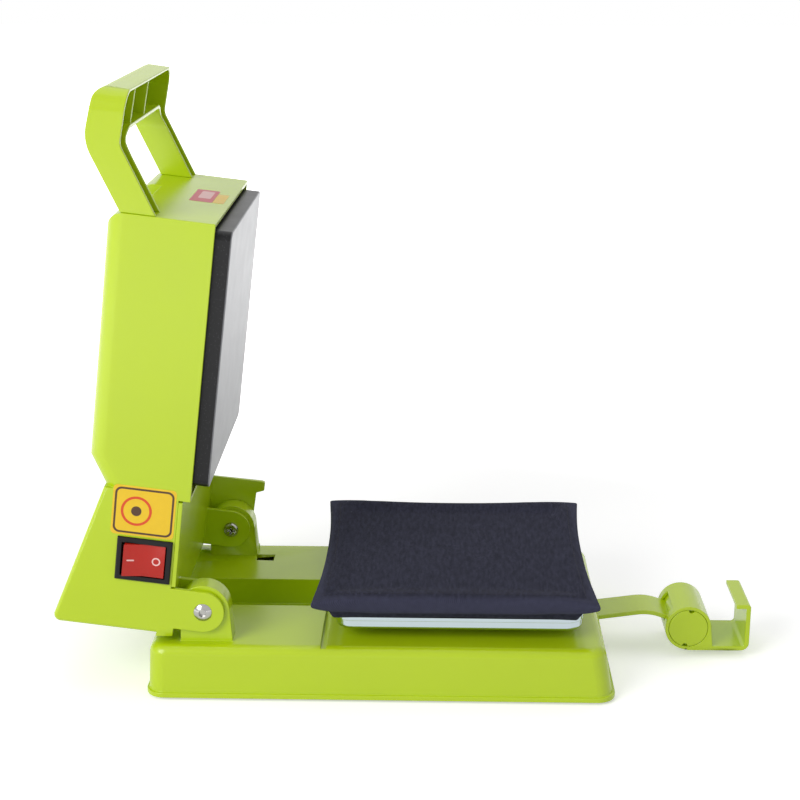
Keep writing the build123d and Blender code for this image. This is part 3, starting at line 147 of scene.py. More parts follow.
class PressStage(bpy.types.PropertyGroup):
    """The camera and the lights."""

    lens: bpy.props.FloatProperty(
        name="Lens", description="Focal length on a 36 mm sensor", unit="CAMERA", default=75.5
    )
    key: bpy.props.FloatProperty(
        name="Key light", description="Power of the large light at the left", unit="POWER", default=27.0
    )
    top: bpy.props.FloatProperty(
        name="Top light", description="Power of the light overhead", unit="POWER", default=6.0
    )
    world: bpy.props.FloatProperty(
        name="World", description="Strength of the even light from all round", default=0.45
    )


GROUPS = {
    "press_shells": PressShells, "press_pad": PressPad, "press_fasteners": PressFasteners,
    "press_switch": PressSwitch, "press_stage": PressStage,
}


# Helpers for meshes


def hood_place(out, y, up):
    """A point of the open hood from distances in mm: out from the hinge, across, and up the hood."""
    return HINGE + (HOOD_OUT * out + ACROSS * y + HOOD_UP * up) * MM


def link(name, mesh):
    """A new object for a mesh, in the scene."""
    piece = bpy.data.objects.new(name, mesh)
    bpy.context.scene.collection.objects.link(piece)
    return piece


def merged_copy(node, name):
    """A copy of a CAD node with its loose triangles merged and its flat faces joined."""
    mesh = frame["nodes"][node].data.copy()
    mesh.name = name
    work = bmesh.new()
    work.from_mesh(mesh)
    bmesh.ops.remove_doubles(work, verts=work.verts, dist=2e-6)
    bmesh.ops.dissolve_limit(work, angle_limit=math.radians(0.5), verts=work.verts, edges=work.edges)
    work.to_mesh(mesh)
    work.free()
    if mesh.has_custom_normals:
        mesh.attributes.remove(mesh.attributes["custom_normal"])
    return link(name, mesh)


def plain_mesh(piece):
    """Turn a piece's modifiers into its mesh."""
    bpy.context.view_layer.update()
    graph = bpy.context.evaluated_depsgraph_get()
    mesh = bpy.data.meshes.new_from_object(piece.evaluated_get(graph))
    old = piece.data
    piece.modifiers.clear()
    piece.data = mesh
    mesh.name = piece.name
    bpy.data.meshes.remove(old)
    return piece


def folded_points(piece, skin):
    """The corners of the triangles that a piece's modifiers have turned against its own skin."""
    bpy.context.view_layer.update()
    mesh = piece.evaluated_get(bpy.context.evaluated_depsgraph_get()).data
    mesh.calc_loop_triangles()
    smallest = 0.05 * MM * MM
    turned = -0.3
    points = []
    for triangle in mesh.loop_triangles:
        if triangle.area < smallest:
            continue
        corners = [mesh.vertices[v].co for v in triangle.vertices]
        _, normal, _, _ = skin.find_nearest(sum(corners, Vector()) / 3)
        if triangle.normal.dot(normal) < turned:
            points.extend(corners)
    return points


def soften(piece, width, segments=2, angle=32, rounds=6):
    """Round the edges sharper than an angle. Over more than one round, those that fold a face are left."""
    mesh = piece.data
    work = bmesh.new()
    work.from_mesh(mesh)
    skin = BVHTree.FromBMesh(work)
    sharp = [edge.index for edge in work.edges if edge.calc_face_angle(0) > math.radians(angle)]
    ends = {edge.index: (edge.verts[0].co.copy(), edge.verts[1].co.copy()) for edge in work.edges}
    work.free()
    rounded = mesh.attributes.new("bevel_weight_edge", "FLOAT", "EDGE").name
    bevel = piece.modifiers.new("edges", "BEVEL")
    bevel.width = width
    bevel.segments = segments
    bevel.limit_method = "WEIGHT"
    bevel.use_clamp_overlap = False
    split = piece.modifiers.new("wide_faces", "TRIANGULATE")
    split.ngon_method = "BEAUTY"
    split.min_vertices = 5
    flatten = piece.modifiers.new("flat_shading", "WEIGHTED_NORMAL")
    flatten.mode = "FACE_AREA"
    flatten.weight = 100
    flatten.thresh = 0.01
    flatten.keep_sharp = True
    mesh.shade_smooth()
    reach = 2.5 * width
    for _ in range(rounds):
        weights = [0.0] * len(mesh.edges)
        for index in sharp:
            weights[index] = 1.0
        mesh.attributes[rounded].data.foreach_set("value", weights)
        mesh.update()
        folds = folded_points(piece, skin) if rounds > 1 else []
        if not folds:
            break
        kept = []
        for index in sharp:
            start, end = ends[index]
            for point in folds:
                share = intersect_point_line(point, start, end)[1]
                near = start.lerp(end, min(1.0, max(0.0, share)))
                if (near - point).length < reach:
                    break
            else:
                kept.append(index)
        # An edge that isn't rounded stays crisp in the shading too
        for index in set(sharp) - set(kept):
            mesh.edges[index].use_edge_sharp = True
        sharp = kept
    plain_mesh(piece)
    left = piece.data.attributes.get("bevel_weight_edge")
    if left:
        piece.data.attributes.remove(left)
    return piece


def finish_piece(piece, body, material, replaced=()):
    """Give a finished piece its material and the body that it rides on."""
    piece.data.materials.clear()
    piece.data.materials.append(material)
    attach(piece, body)
    if replaced:
        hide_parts(*replaced)
    return piece


def dress(node, body, material, width, segments=2, angle=32, rounds=6):
    """Stand a soft-edged copy in for a CAD node."""
    piece = soften(merged_copy(node, node + "_moulded"), width, segments, angle, rounds)
    return finish_piece(piece, body, material, (node,))


def paint(names, material):
    """Give CAD nodes a material."""
    for name in names:
        mesh = frame["nodes"][name].data
        mesh.materials.clear()
        mesh.materials.append(material)


def rounded_outline(width, height, corner, steps=8):
    """The points of a rounded rectangle about the origin, anticlockwise."""
    points = []
    for turn in range(4):
        sx = (1, -1, -1, 1)[turn]
        sy = (1, 1, -1, -1)[turn]
        for step in range(steps + 1):
            angle = math.pi / 2 * (turn + step / steps)
            points.append((
                sx * (width / 2 - corner) + corner * math.cos(angle),
                sy * (height / 2 - corner) + corner * math.sin(angle),
            ))
    return points


def flat_band(outer, inner, thick):
    """A closed flat piece between two outlines with as many points, or over one if inner is empty."""
    work = bmesh.new()
    rings = []
    for outline, z in ((outer, 0), (outer, thick), (inner, thick), (inner, 0)):
        if outline:
            rings.append([work.verts.new((x * MM, y * MM, z * MM)) for x, y in outline])
    count = len(outer)
    if inner:
        pairs = [(0, 1), (1, 2), (2, 3), (3, 0)]
    else:
        pairs = [(0, 1)]
        work.faces.new(rings[1])
        work.faces.new(reversed(rings[0]))
    for low, high in pairs:
        for i in range(count):
            j = (i + 1) % count
            work.faces.new((rings[low][i], rings[low][j], rings[high][j], rings[high][i]))
    mesh = bpy.data.meshes.new("flat")
    work.to_mesh(mesh)
    work.free()
    return mesh


def place_matrix(origin, right, up):
    """The matrix that puts a flat piece at a point, with its own x and y along two directions."""
    right = right.normalized()
    up = up.normalized()
    return Matrix.Translation(origin) @ Matrix((right, up, right.cross(up))).transposed().to_4x4()


def printed(name, mesh, matrix, material, body):
    """Put a flat printed piece in its place."""
    mesh.transform(matrix)
    return finish_piece(link(name, mesh), body, material)


# Helpers for node trees


def add(tree, kind, inputs=None, **settings):
    """Add a node with its settings, and set or link its inputs."""
    made = tree.nodes.new(kind)
    for name, value in settings.items():
        setattr(made, name, value)
    for socket, value in (inputs or {}).items():
        if isinstance(value, bpy.types.NodeSocket):
            tree.links.new(value, made.inputs[socket])
        else:
            made.inputs[socket].default_value = value
    return made


def new_material(name, **sockets):
    """A material with a Principled shader whose named sockets are set, and its object coordinates."""
    material = bpy.data.materials.new(name)
    material.use_nodes = True
    tree = material.node_tree
    shader = tree.nodes["Principled BSDF"]
    for socket, value in sockets.items():
        if not isinstance(value, (int, float)):
            value = (*value, 1.0)
        shader.inputs[socket.replace("_", " ")].default_value = value
    material.diffuse_color = (*shader.inputs["Base Color"].default_value[:3], 1.0)
    coordinates = add(tree, "ShaderNodeTexCoord").outputs["Object"]
    return material, tree, shader, coordinates


def vary(tree, shader, coordinates, grain_mm, colours, roughness, detail=3.0):
    """Let noise of a real grain size move the colour and the roughness between two values each."""
    noise = add(tree, "ShaderNodeTexNoise", {
        "Vector": coordinates, "Scale": 1 / (grain_mm * MM), "Detail": detail, "Roughness": 0.55,
    }).outputs["Fac"]
    mix = add(tree, "ShaderNodeMix", {0: noise, 6: (*colours[0], 1), 7: (*colours[1], 1)}, data_type="RGBA")
    tree.links.new(mix.outputs[2], shader.inputs["Base Color"])
    rough = add(tree, "ShaderNodeMapRange", {"Value": noise, "To Min": roughness[0], "To Max": roughness[1]})
    tree.links.new(rough.outputs[0], shader.inputs["Roughness"])
    return noise


def new_tree(name, sockets):
    """A Geometry Nodes tree with named inputs."""
    tree = bpy.data.node_groups.new(name, "GeometryNodeTree")
    tree.interface.new_socket("Geometry", in_out="OUTPUT", socket_type="NodeSocketGeometry")
    tree.interface.new_socket("Geometry", in_out="INPUT", socket_type="NodeSocketGeometry")
    for label, kind in sockets.items():
        tree.interface.new_socket(label, in_out="INPUT", socket_type=kind)
    return tree, tree.nodes.new("NodeGroupInput").outputs


def end_tree(tree, geometry, material):
    """End a Geometry Nodes tree in real geometry with its material."""
    real = add(tree, "GeometryNodeRealizeInstances", {"Geometry": geometry})
    coloured = add(tree, "GeometryNodeSetMaterial", {"Geometry": real.outputs[0], "Material": material})
    add(tree, "NodeGroupOutput", {"Geometry": coloured.outputs[0]})
    return tree


def run_tree(piece, tree, values):
    """Run a Geometry Nodes tree with its inputs set, and keep what it makes as the piece's mesh."""
    modifier = piece.modifiers.new(tree.name, "NODES")
    modifier.node_group = tree
    for item in tree.interface.items_tree:
        if item.in_out == "INPUT" and item.name in values:
            modifier[item.identifier] = values[item.name]
    return plain_mesh(piece)


def bump(tree, shader, height, depth_mm, strength=1.0, under=None):
    """Add a bump of a real depth, over another bump if there is one."""
    inputs = {"Height": height, "Distance": depth_mm * MM, "Strength": strength}
    if under:
        inputs["Normal"] = under
    made = add(tree, "ShaderNodeBump", inputs)
    tree.links.new(made.outputs[0], shader.inputs["Normal"])
    return made.outputs[0]


def shade(values, factor):
    """A colour made lighter or darker."""
    return tuple(min(1.0, v * factor) for v in values)


# Materials


def moulded_abs():
    """Gloss ABS from a polished mould: an even colour with faint flow and a soft sheen."""
    green = bpy.context.scene.press_shells.green
    material, tree, shader, place = new_material("moulded_lime_abs", Base_Color=green, IOR=1.54)
    vary(tree, shader, place, 38, (shade(green, 0.97), shade(green, 1.03)), (0.20, 0.27))
    peel = add(tree, "ShaderNodeTexNoise", {"Vector": place, "Scale": 1 / (3.2 * MM), "Detail": 2.0})
    low = bump(tree, shader, peel.outputs["Fac"], 0.018)
    grain = add(tree, "ShaderNodeTexNoise", {"Vector": place, "Scale": 1 / (0.45 * MM), "Detail": 2.0})
    bump(tree, shader, grain.outputs["Fac"], 0.006, under=low)
    shader.inputs["Specular IOR Level"].default_value = 0.5
    return material


def coated_aluminium():
    """Cast aluminium under a satin non-stick coat: dark, with a fine pale fleck and a paler grey on its
    pressing face.
    """
    dark = linear("#0D0D0F")
    material, tree, shader, place = new_material("nonstick_coated_aluminium", Base_Color=dark, Metallic=0.2)
    shader.inputs["Specular IOR Level"].default_value = 0.3
    vary(tree, shader, place, 14, (dark, linear("#151517")), (0.28, 0.4), 5.0)
    base = shader.inputs["Base Color"].links[0].from_socket
    fleck = add(tree, "ShaderNodeTexVoronoi", {"Vector": place, "Scale": 1 / (1.1 * MM)})
    spots = add(tree, "ShaderNodeMapRange", {
        "Value": fleck.outputs["Distance"], "From Min": 0.05, "From Max": 0.16, "To Min": 0.25, "To Max": 0.0,
    })
    face = add(tree, "ShaderNodeVectorMath", {0: place, 1: tuple(HOOD_OUT)}, operation="DOT_PRODUCT")
    level = max(Vector(v.co).dot(HOOD_OUT) for v in frame["nodes"]["heat_platen"].data.vertices)
    # The pressing face is painted a paler grey than the sides
    pale_face = add(tree, "ShaderNodeMapRange", {
        "Value": face.outputs["Value"], "From Min": level - 0.9 * MM, "From Max": level - 0.2 * MM,
    })
    coat = add(tree, "ShaderNodeMix", {
        0: pale_face.outputs[0], 6: base, 7: (*linear("#8F9094"), 1),
    }, data_type="RGBA")
    flecked = add(tree, "ShaderNodeMix", {
        0: spots.outputs[0], 6: coat.outputs[2], 7: (*linear("#B9BBC0"), 1),
    }, data_type="RGBA")
    tree.links.new(flecked.outputs[2], shader.inputs["Base Color"])
    grain = add(tree, "ShaderNodeTexNoise", {"Vector": place, "Scale": 1 / (0.6 * MM), "Detail": 3.0})
    bump(tree, shader, grain.outputs["Fac"], 0.02)
    return material


def bright_chrome():
    """Chromed pressed steel: a near mirror with faint draw lines."""
    tone = bpy.context.scene.press_pad.chrome
    material, tree, shader, place = new_material("chromed_pressed_steel", Base_Color=tone, Metallic=1.0)
    vary(tree, shader, place, 9, (shade(tone, 0.94), tone), (0.08, 0.16))
    lines = add(tree, "ShaderNodeMapping", {"Vector": place, "Scale": (1, 1, 0.04)})
    draw = add(tree, "ShaderNodeTexNoise", {
        "Vector": lines.outputs[0], "Scale": 1 / (1.5 * MM), "Detail": 4.0,
    })
    bump(tree, shader, draw.outputs["Fac"], 0.01)
    return material


def plated(name, tone, roughness, grain_mm):
    """Plated steel: bright, with a fine grain in its gloss."""
    tone = linear(tone)
    material, tree, shader, place = new_material(name, Base_Color=tone, Metallic=1.0)
    noise = vary(tree, shader, place, grain_mm, (shade(tone, 0.85), tone), roughness)
    bump(tree, shader, noise, 0.01)
    return material


def woven_denim():
    """Indigo twill: navy warp over a grey weft, with slubs, lint and a soft sheen."""
    pad = bpy.context.scene.press_pad
    material, tree, shader, place = new_material(
        "indigo_denim_twill", Base_Color=pad.denim, Roughness=0.92, Sheen_Weight=0.02, Sheen_Roughness=0.5
    )
    shader.inputs["Specular IOR Level"].default_value = 0.08
    wobble = add(tree, "ShaderNodeTexNoise", {"Vector": place, "Scale": 1 / (6 * MM), "Detail": 2.0})
    drift = add(tree, "ShaderNodeVectorMath", {
        0: wobble.outputs["Color"], 1: (0.6 * MM, 0.6 * MM, 0),
    }, operation="MULTIPLY")
    bent = add(tree, "ShaderNodeVectorMath", {0: place, 1: drift.outputs[0]}, operation="ADD")
    # The lines slope on the upright faces too
    turned = add(tree, "ShaderNodeMapping", {
        "Vector": bent.outputs[0], "Rotation": (0, math.radians(32), math.radians(52)),
    })
    # A wave texture has a period of pi / 10 over its scale
    twill = add(tree, "ShaderNodeTexWave", {
        "Vector": turned.outputs[0], "Scale": math.pi / (10 * pad.pitch), "Distortion": 1.5, "Detail": 2.0,
        "Detail Scale": 1.5,
    }, bands_direction="X")
    yarn = add(tree, "ShaderNodeTexNoise", {"Vector": place, "Scale": 1 / (0.8 * MM), "Detail": 3.0})
    slub = add(tree, "ShaderNodeMapping", {"Vector": place, "Scale": (1, 0.2, 1)})
    slubs = add(tree, "ShaderNodeTexNoise", {
        "Vector": slub.outputs[0], "Scale": 1 / (1.8 * MM), "Detail": 4.0,
    })
    part = add(tree, "ShaderNodeMath", {0: twill.outputs["Fac"], 1: yarn.outputs["Fac"]}, operation="ADD")
    whole = add(tree, "ShaderNodeMath", {0: part.outputs[0], 1: slubs.outputs["Fac"]}, operation="ADD")
    share = add(tree, "ShaderNodeMapRange", {
        "Value": whole.outputs[0], "From Min": 1.0, "From Max": 2.1, "To Min": 0.0, "To Max": 1.0,
    })
    # The hem is painted paler than the rest: painted light on its side faces, and wear
    hem_paling = add(tree, "ShaderNodeAttribute", attribute_name="hem_wear")
    light_and_wear_share = add(tree, "ShaderNodeMath", {
        0: hem_paling.outputs["Fac"], 1: 0.4, 2: share.outputs[0],
    }, operation="MULTIPLY_ADD")
    cloth = add(tree, "ShaderNodeMix", {
        0: light_and_wear_share.outputs[0], 6: (*shade(pad.denim, 0.8), 1), 7: (*pad.fleck, 1),
    }, data_type="RGBA")
    dots = add(tree, "ShaderNodeTexVoronoi", {"Vector": place, "Scale": 1 / (14 * MM)})
    lint = add(tree, "ShaderNodeMapRange", {
        "Value": dots.outputs["Distance"], "From Min": 0.01, "From Max": 0.03, "To Min": 0.5, "To Max": 0.0,
    })
    specks = add(tree, "ShaderNodeMix", {
        0: lint.outputs[0], 6: cloth.outputs[2], 7: (*linear("#9A9BA2"), 1),
    }, data_type="RGBA")
    tree.links.new(specks.outputs[2], shader.inputs["Base Color"])
    low = bump(tree, shader, twill.outputs["Fac"], 0.10, 0.7)
    bump(tree, shader, yarn.outputs["Fac"], 0.10, 0.7, under=low)
    return material


def moulded_tone(name, tone, roughness, grain_mm=0.8, depth_mm=0.01, specular=0.5):
    """A moulded plastic or rubber with a fine spark-eroded grain."""
    material, tree, shader, place = new_material(name, Base_Color=tone)
    shader.inputs["Specular IOR Level"].default_value = specular
    vary(tree, shader, place, 12, (shade(tone, 0.92), shade(tone, 1.08)), roughness)
    grain = add(tree, "ShaderNodeTexNoise", {"Vector": place, "Scale": 1 / (grain_mm * MM), "Detail": 2.0})
    bump(tree, shader, grain.outputs["Fac"], depth_mm)
    return material


def moulded(name, hex_colour, *settings):
    """A moulded plastic or rubber from its hex colour."""
    return moulded_tone(name, linear(hex_colour), *settings)


def hood_level():
    """How far up the hood its end wall stands, in mm from the hinge."""
    shell = frame["nodes"]["hood_shell"].data.vertices
    return max((Vector(v.co) - HINGE).dot(HOOD_UP) for v in shell) / MM


def printed_ink(name, values, roughness=0.38):
    """Screen print: an even film with a slightly mottled gloss."""
    material, tree, shader, place = new_material(name, Base_Color=values, Roughness=roughness)
    vary(tree, shader, place, 2.5, (shade(values, 0.94), shade(values, 1.03)), (roughness, roughness + 0.08))
    return material


# Pieces


class PRESS_OT_shells(bpy.types.Operator):
    """Round the moulded edges of the green shells and give them their ABS finish"""

    bl_idname = "press.shells"
    bl_label = "Moulded shells"

    def execute(self, context):
        shells = context.scene.press_shells
        material = moulded_abs()
        bodies = {
            "base_cover": "base", "hood_shell": "hood", "hood_inner_cover": "hood", "handle": "hood",
            "latch_arm": "arm", "latch_core": "arm", "latch_hook": "hook",
        }
        for node, body in bodies.items():
            # Unrounded edges streak the handle's side, so it is rounded in full and keeps folded triangles:
            # 39 of them, 51 mm2 in all, most in its channel and 8 open to view, mostly on its back
            if node == "handle":
                dress(node, body, material, shells.grip_edge, rounds=1)
            else:
                dress(node, body, material, shells.edge)
        return {"FINISHED"}


class PRESS_OT_platen(bpy.types.Operator):
    """Give the heated platen its rubbed non-stick coat"""

    bl_idname = "press.platen"
    bl_label = "Heated platen"

    def execute(self, context):
        dress("heat_platen", "hood", coated_aluminium(), 0.3 * MM)
        return {"FINISHED"}


class PRESS_OT_tray(bpy.types.Operator):
    """Give the pressed tray its chrome, and its cushions and foam their rubber"""

    bl_idname = "press.tray"
    bl_label = "Tray"

    def execute(self, context):
        dress("tray", "base", bright_chrome(), 0.25 * MM)
        rubber = moulded("moulded_black_rubber", "#17181A", (0.55, 0.7), 0.5, 0.02)
        dress("tray_cushions", "base", rubber, 0.3 * MM)
        dress("rubber_feet", "base", rubber, 0.3 * MM)
        paint(["tray_foam"], moulded("open_silicone_foam", "#C8673F", (0.8, 0.95), 0.9, 0.2))
        return {"FINISHED"}


def ease(value):
    """A smooth step from 0 to 1."""
    value = min(1.0, max(0.0, value))
    return value * value * (3 - 2 * value)


def pad_plan(low, high, a, b):
    """The place on the pad's plan at shares a along the press and b across it."""
    middle = (low + high) / 2
    half = (high - low) / 2
    drawn_end = 3.4 * MM
    drawn_side = 4.2 * MM
    x = middle.x + a * (half.x - drawn_end * (1 - b * b) * a * a)
    y = middle.y + b * (half.y - drawn_side * (1 - a * a) * b * b)
    return x, y


def pad_point(low, high, a, b, side):
    """A point of the pad's skin at shares a and b of its plan, on its upper or lower side."""
    pad = bpy.context.scene.press_pad
    x, y = pad_plan(low, high, a, b)
    half = (high - low) / 2
    inside = min((1 - abs(a)) * half.x, (1 - abs(b)) * half.y)
    corner = (abs(a) * abs(b)) ** 9
    # The hem's ridge stands over the pad's middle, and rises to the corners, which end in points
    edge = pad.edge * (1 - 0.7 * corner)
    edge_middle = low.z + pad.ridge - pad.edge / 2 + 1.8 * MM * (abs(a) * abs(b)) ** 2.5 + 0.6 * MM * corner
    # The hem's outer face is flatter than a half circle, and its underside stands clear of the tray's rim
    nose = (1 - (1 - min(1.0, inside / (0.35 * edge))) ** 3) ** 0.4
    swell = 0.5 * MM * (1 - a * a) * (1 - b * b)
    if side > 0:
        fall = ease((inside - pad.hem) / (16 * MM))
        top = edge_middle + edge / 2
        z = edge_middle + edge / 2 * nose - (top - low.z - pad.rise - swell) * fall
    else:
        sink = ease((inside - 7.5 * MM) / (4.5 * MM))
        z = edge_middle - edge / 2 * nose
        z -= (z - low.z) * sink
    return Vector((x, y, z))


def pad_shape(steps=72):
    """The closed skin of the pad: an upper and a lower sheet joined at their rims."""
    low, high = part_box("press_pad")
    work = bmesh.new()
    for side in (1, -1):
        rows = []
        for i in range(steps + 1):
            row = []
            for j in range(steps + 1):
                a = math.sin(math.pi / 2 * (2 * i / steps - 1))
                b = math.sin(math.pi / 2 * (2 * j / steps - 1))
                row.append(work.verts.new(pad_point(low, high, a, b, side)))
            rows.append(row)
        for i in range(steps):
            for j in range(steps):
                quad = (rows[i][j], rows[i + 1][j], rows[i + 1][j + 1], rows[i][j + 1])
                work.faces.new(quad if side > 0 else reversed(quad))
    bmesh.ops.remove_doubles(work, verts=work.verts, dist=0.02 * MM)
    mesh = bpy.data.meshes.new("denim_pad")
    work.to_mesh(mesh)
    work.free()
    # How far a point belongs to the hem, for the painted light and the wear on the denim's hem
    middle = (low + high) / 2
    half = (high - low) / 2
    hem_paling = mesh.attributes.new("hem_wear", "FLOAT", "POINT")
    for vertex in mesh.vertices:
        away = vertex.co - middle
        inside = min(half.x - abs(away.x), half.y - abs(away.y))
        hem_paling.data[vertex.index].value = 1 - ease((inside - 3.5 * MM) / (5 * MM))
    return mesh


def inflate(piece, pressure, cap):
    """Let a copy of a padded piece fill out as cloth, and carry its movement over to the piece."""
    blown = link("blown", piece.data.copy())
    remesh = blown.modifiers.new("even", "REMESH")
    remesh.mode = "VOXEL"
    remesh.voxel_size = 2.6 * MM
    plain_mesh(blown)
    start = [v.co.copy() for v in blown.data.vertices]
    cloth = blown.modifiers.new("cloth", "CLOTH")
    cloth.settings.quality = 5
    cloth.settings.use_pressure = True
    cloth.settings.uniform_pressure_force = pressure
    cloth.settings.effector_weights.gravity = 0
    cloth.settings.tension_stiffness = 12
    cloth.settings.compression_stiffness = 6
    cloth.settings.bending_stiffness = 0.6
    cloth.collision_settings.use_collision = False
    for step in range(1, 21):
        bpy.context.scene.frame_set(step)
    graph = bpy.context.evaluated_depsgraph_get()
    ends = [v.co.copy() for v in blown.evaluated_get(graph).data.vertices]
    tree = KDTree(len(start))
    moves = []
    for index, (home, away) in enumerate(zip(start, ends)):
        move = away - home
        if move.length > cap:
            move *= cap / move.length
        moves.append(move)
        tree.insert(home, index)
    tree.balance()
    # The hem and the corners keep their modelled shape, so each point follows the cloth near it
    for vertex in piece.data.vertices:
        total = Vector()
        weights = 0.0
        for _, index, distance in tree.find_n(vertex.co, 14):
            weight = math.exp(-(distance / (3.5 * MM)) ** 2)
            total += moves[index] * weight
            weights += weight
        if weights > 0:
            vertex.co += total / weights
    bpy.data.objects.remove(blown)
    bpy.context.scene.frame_set(1)


def hem_line(piece, steps=60):
    """The closed line of the hem's seam on top of a pad, as a mesh of edges."""
    low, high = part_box("press_pad")
    hem = bpy.context.scene.press_pad.hem
    half = (high - low) / 2
    end, side = 1 - hem / half.x, 1 - hem / half.y
    shares = [2 * i / steps - 1 for i in range(steps)]
    around = [(end * s, -side) for s in shares] + [(end, side * s) for s in shares]
    around += [(-end * s, side) for s in shares] + [(-end, -side * s) for s in shares]
    tree = BVHTree.FromObject(piece, bpy.context.evaluated_depsgraph_get())
    points = []
    for a, b in around:
        x, y = pad_plan(low, high, a, b)
        hit = tree.ray_cast(Vector((x, y, high.z + 0.05)), Vector((0, 0, -1)))[0]
        points.append(hit)
    mesh = bpy.data.meshes.new("hem_stitches")
    mesh.from_pydata(points, [(i, (i + 1) % len(points)) for i in range(len(points))], [])
    return mesh


def stitch_tree():
    """The tree that lays stitches along a line of edges."""
    tree, inputs = new_tree("hem_stitches", {
        "Stitch length": "NodeSocketFloat", "Stitch pitch": "NodeSocketFloat", "Thread": "NodeSocketFloat",
        "Material": "NodeSocketMaterial",
    })
    curve = add(tree, "GeometryNodeMeshToCurve", {"Mesh": inputs["Geometry"]})
    spaced = add(tree, "GeometryNodeResampleCurve", {
        "Curve": curve.outputs[0], "Length": inputs["Stitch pitch"],
    }, mode="LENGTH")
    tangent = add(tree, "GeometryNodeInputTangent")
    along = add(tree, "FunctionNodeAlignRotationToVector", {"Vector": tangent.outputs[0]}, axis="X")
    bead = add(tree, "GeometryNodeMeshUVSphere", {"Segments": 8, "Rings": 5, "Radius": 0.5})
    smooth = add(tree, "GeometryNodeSetShadeSmooth", {"Geometry": bead.outputs[0]})
    size = add(tree, "ShaderNodeCombineXYZ", {
        "X": inputs["Stitch length"], "Y": inputs["Thread"], "Z": inputs["Thread"],
    })
    laid = add(tree, "GeometryNodeInstanceOnPoints", {
        "Points": spaced.outputs[0], "Instance": smooth.outputs[0], "Rotation": along.outputs[0],
        "Scale": size.outputs[0],
    })
    return end_tree(tree, laid.outputs[0], inputs["Material"])


class PRESS_OT_pad(bpy.types.Operator):
    """Make the denim pad with its hem, drawn-in sides, pinched corners and stitches"""

    bl_idname = "press.pad"
    bl_label = "Press pad"

    def execute(self, context):
        pad = context.scene.press_pad
        piece = link("denim_pad", pad_shape())
        inflate(piece, 1.5, 0.8 * MM)
        smooth = piece.modifiers.new("smooth", "SUBSURF")
        smooth.levels = 1
        smooth.render_levels = 1
        piece.data.shade_smooth()
        plain_mesh(piece)
        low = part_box("press_pad")[0]
        for vertex in piece.data.vertices:
            vertex.co.z = max(vertex.co.z, low.z)
        finish_piece(piece, "base", woven_denim(), ("press_pad",))
        thread = moulded("waxed_navy_thread", "#1B1C26", (0.6, 0.75), 0.5, 0.02, 0.3)
        seam = run_tree(link("hem_stitches", hem_line(piece)), stitch_tree(), {
            "Stitch length": pad.stitch, "Stitch pitch": pad.gap, "Thread": 0.45 * MM, "Material": thread,
        })
        finish_piece(seam, "base", thread)
        for soft in (piece, seam):
            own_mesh(soft)
        return {"FINISHED"}


class PRESS_OT_switch(bpy.types.Operator):
    """Make the rocker switch with its marks"""

    bl_idname = "press.switch"
    bl_label = "Rocker switch"

    def execute(self, context):
        switch = context.scene.press_switch
        black = moulded("moulded_black_nylon", "#121213", (0.28, 0.36), 0.6, 0.004, 0.25)
        red = moulded_tone("moulded_red_polycarbonate", switch.red, (0.12, 0.2), 1.5, 0.003, 0.35)
        dress("switch_body", "hood", black, 0.35 * MM, 3)
        rocker = dress("switch_rocker", "rocker", red, 0.5 * MM, 3)
        # The bar for on lies on the raised half, the ring for off on the pressed one
        ink = printed_ink("rocker_mark_ink", switch.ink)
        bar = flat_band(rounded_outline(4.4, 0.9, 0.4), [], 0.03)
        ring = flat_band(rounded_outline(5.0, 5.0, 2.49), rounded_outline(3.4, 3.4, 1.69), 0.03)
        for name, mesh, out in (("rocker_bar", bar, -44.2), ("rocker_ring", ring, -29.6)):
            start = hood_place(out, -120, 28.45)
            _, place, normal, _ = rocker.ray_cast(start, ACROSS)
            up = (HOOD_UP - normal * HOOD_UP.dot(normal)).normalized()
            printed(name, mesh, place_matrix(place, up.cross(normal), up), ink, "rocker")
        return {"FINISHED"}


class PRESS_OT_labels(bpy.types.Operator):
    """Stick the plain labels on the hood"""

    bl_idname = "press.labels"
    bl_label = "Labels"

    def execute(self, context):
        switch = context.scene.press_switch
        vinyl = printed_ink("yellow_vinyl_label", switch.label, 0.32)
        line = printed_ink("brown_label_ink", switch.border)
        spot = printed_ink("orange_label_ink", switch.spot)
        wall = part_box("hood_shell")[0].y / MM
        side = place_matrix(hood_place(-39.25, wall, 57.9), HOOD_OUT, HOOD_UP)
        # The label's film, the line printed inside its edge, and a ring with a disc in it
        film = flat_band(rounded_outline(36.5, 30.2, 2.5), [], 0.12)
        printed("side_label", film, side, vinyl, "hood")
        lift = Matrix.Translation((0, 0, 0.12 * MM))
        outer = rounded_outline(34.2, 27.9, 3.8)
        inner = rounded_outline(31.8, 25.5, 2.8)
        printed("side_label_line", flat_band(outer, inner, 0.03), side @ lift, line, "hood")
        middle = side @ Matrix.Translation((-4.2 * MM, 0, 0.12 * MM))
        ring = flat_band(rounded_outline(18.0, 18.0, 8.99), rounded_outline(15.0, 15.0, 7.49), 0.03)
        printed("side_label_ring", ring, middle, spot, "hood")
        disc = flat_band(rounded_outline(6.0, 6.0, 2.99), [], 0.03)
        printed("side_label_disc", disc, middle, line, "hood")
        # The printed block on the hood's end wall, with its pale field and its small yellow one
        badge = printed_ink("rose_badge_ink", switch.badge)
        pale = printed_ink("pale_badge_ink", linear("#E9B9BC"))
        wall = hood_level()
        blocks = (
            ("end_badge", badge, (13.5, 40, 1.0), (-30.2, 4.75), 0.0, 0.08),
            ("end_badge_field", pale, (7.5, 24, 1.0), (-29.6, 8.0), 0.08, 0.02),
            ("end_mark", vinyl, (6.5, 30, 1.0), (-20.0, 0.0), 0.0, 0.08),
        )
        for name, ink, (wide, tall, corner), (out, y), under, thick in blocks:
            place = place_matrix(hood_place(out, y, wall + under), HOOD_OUT, ACROSS)
            block = flat_band(rounded_outline(wide, tall, corner), [], thick)
            printed(name, block, place, ink, "hood")
        return {"FINISHED"}


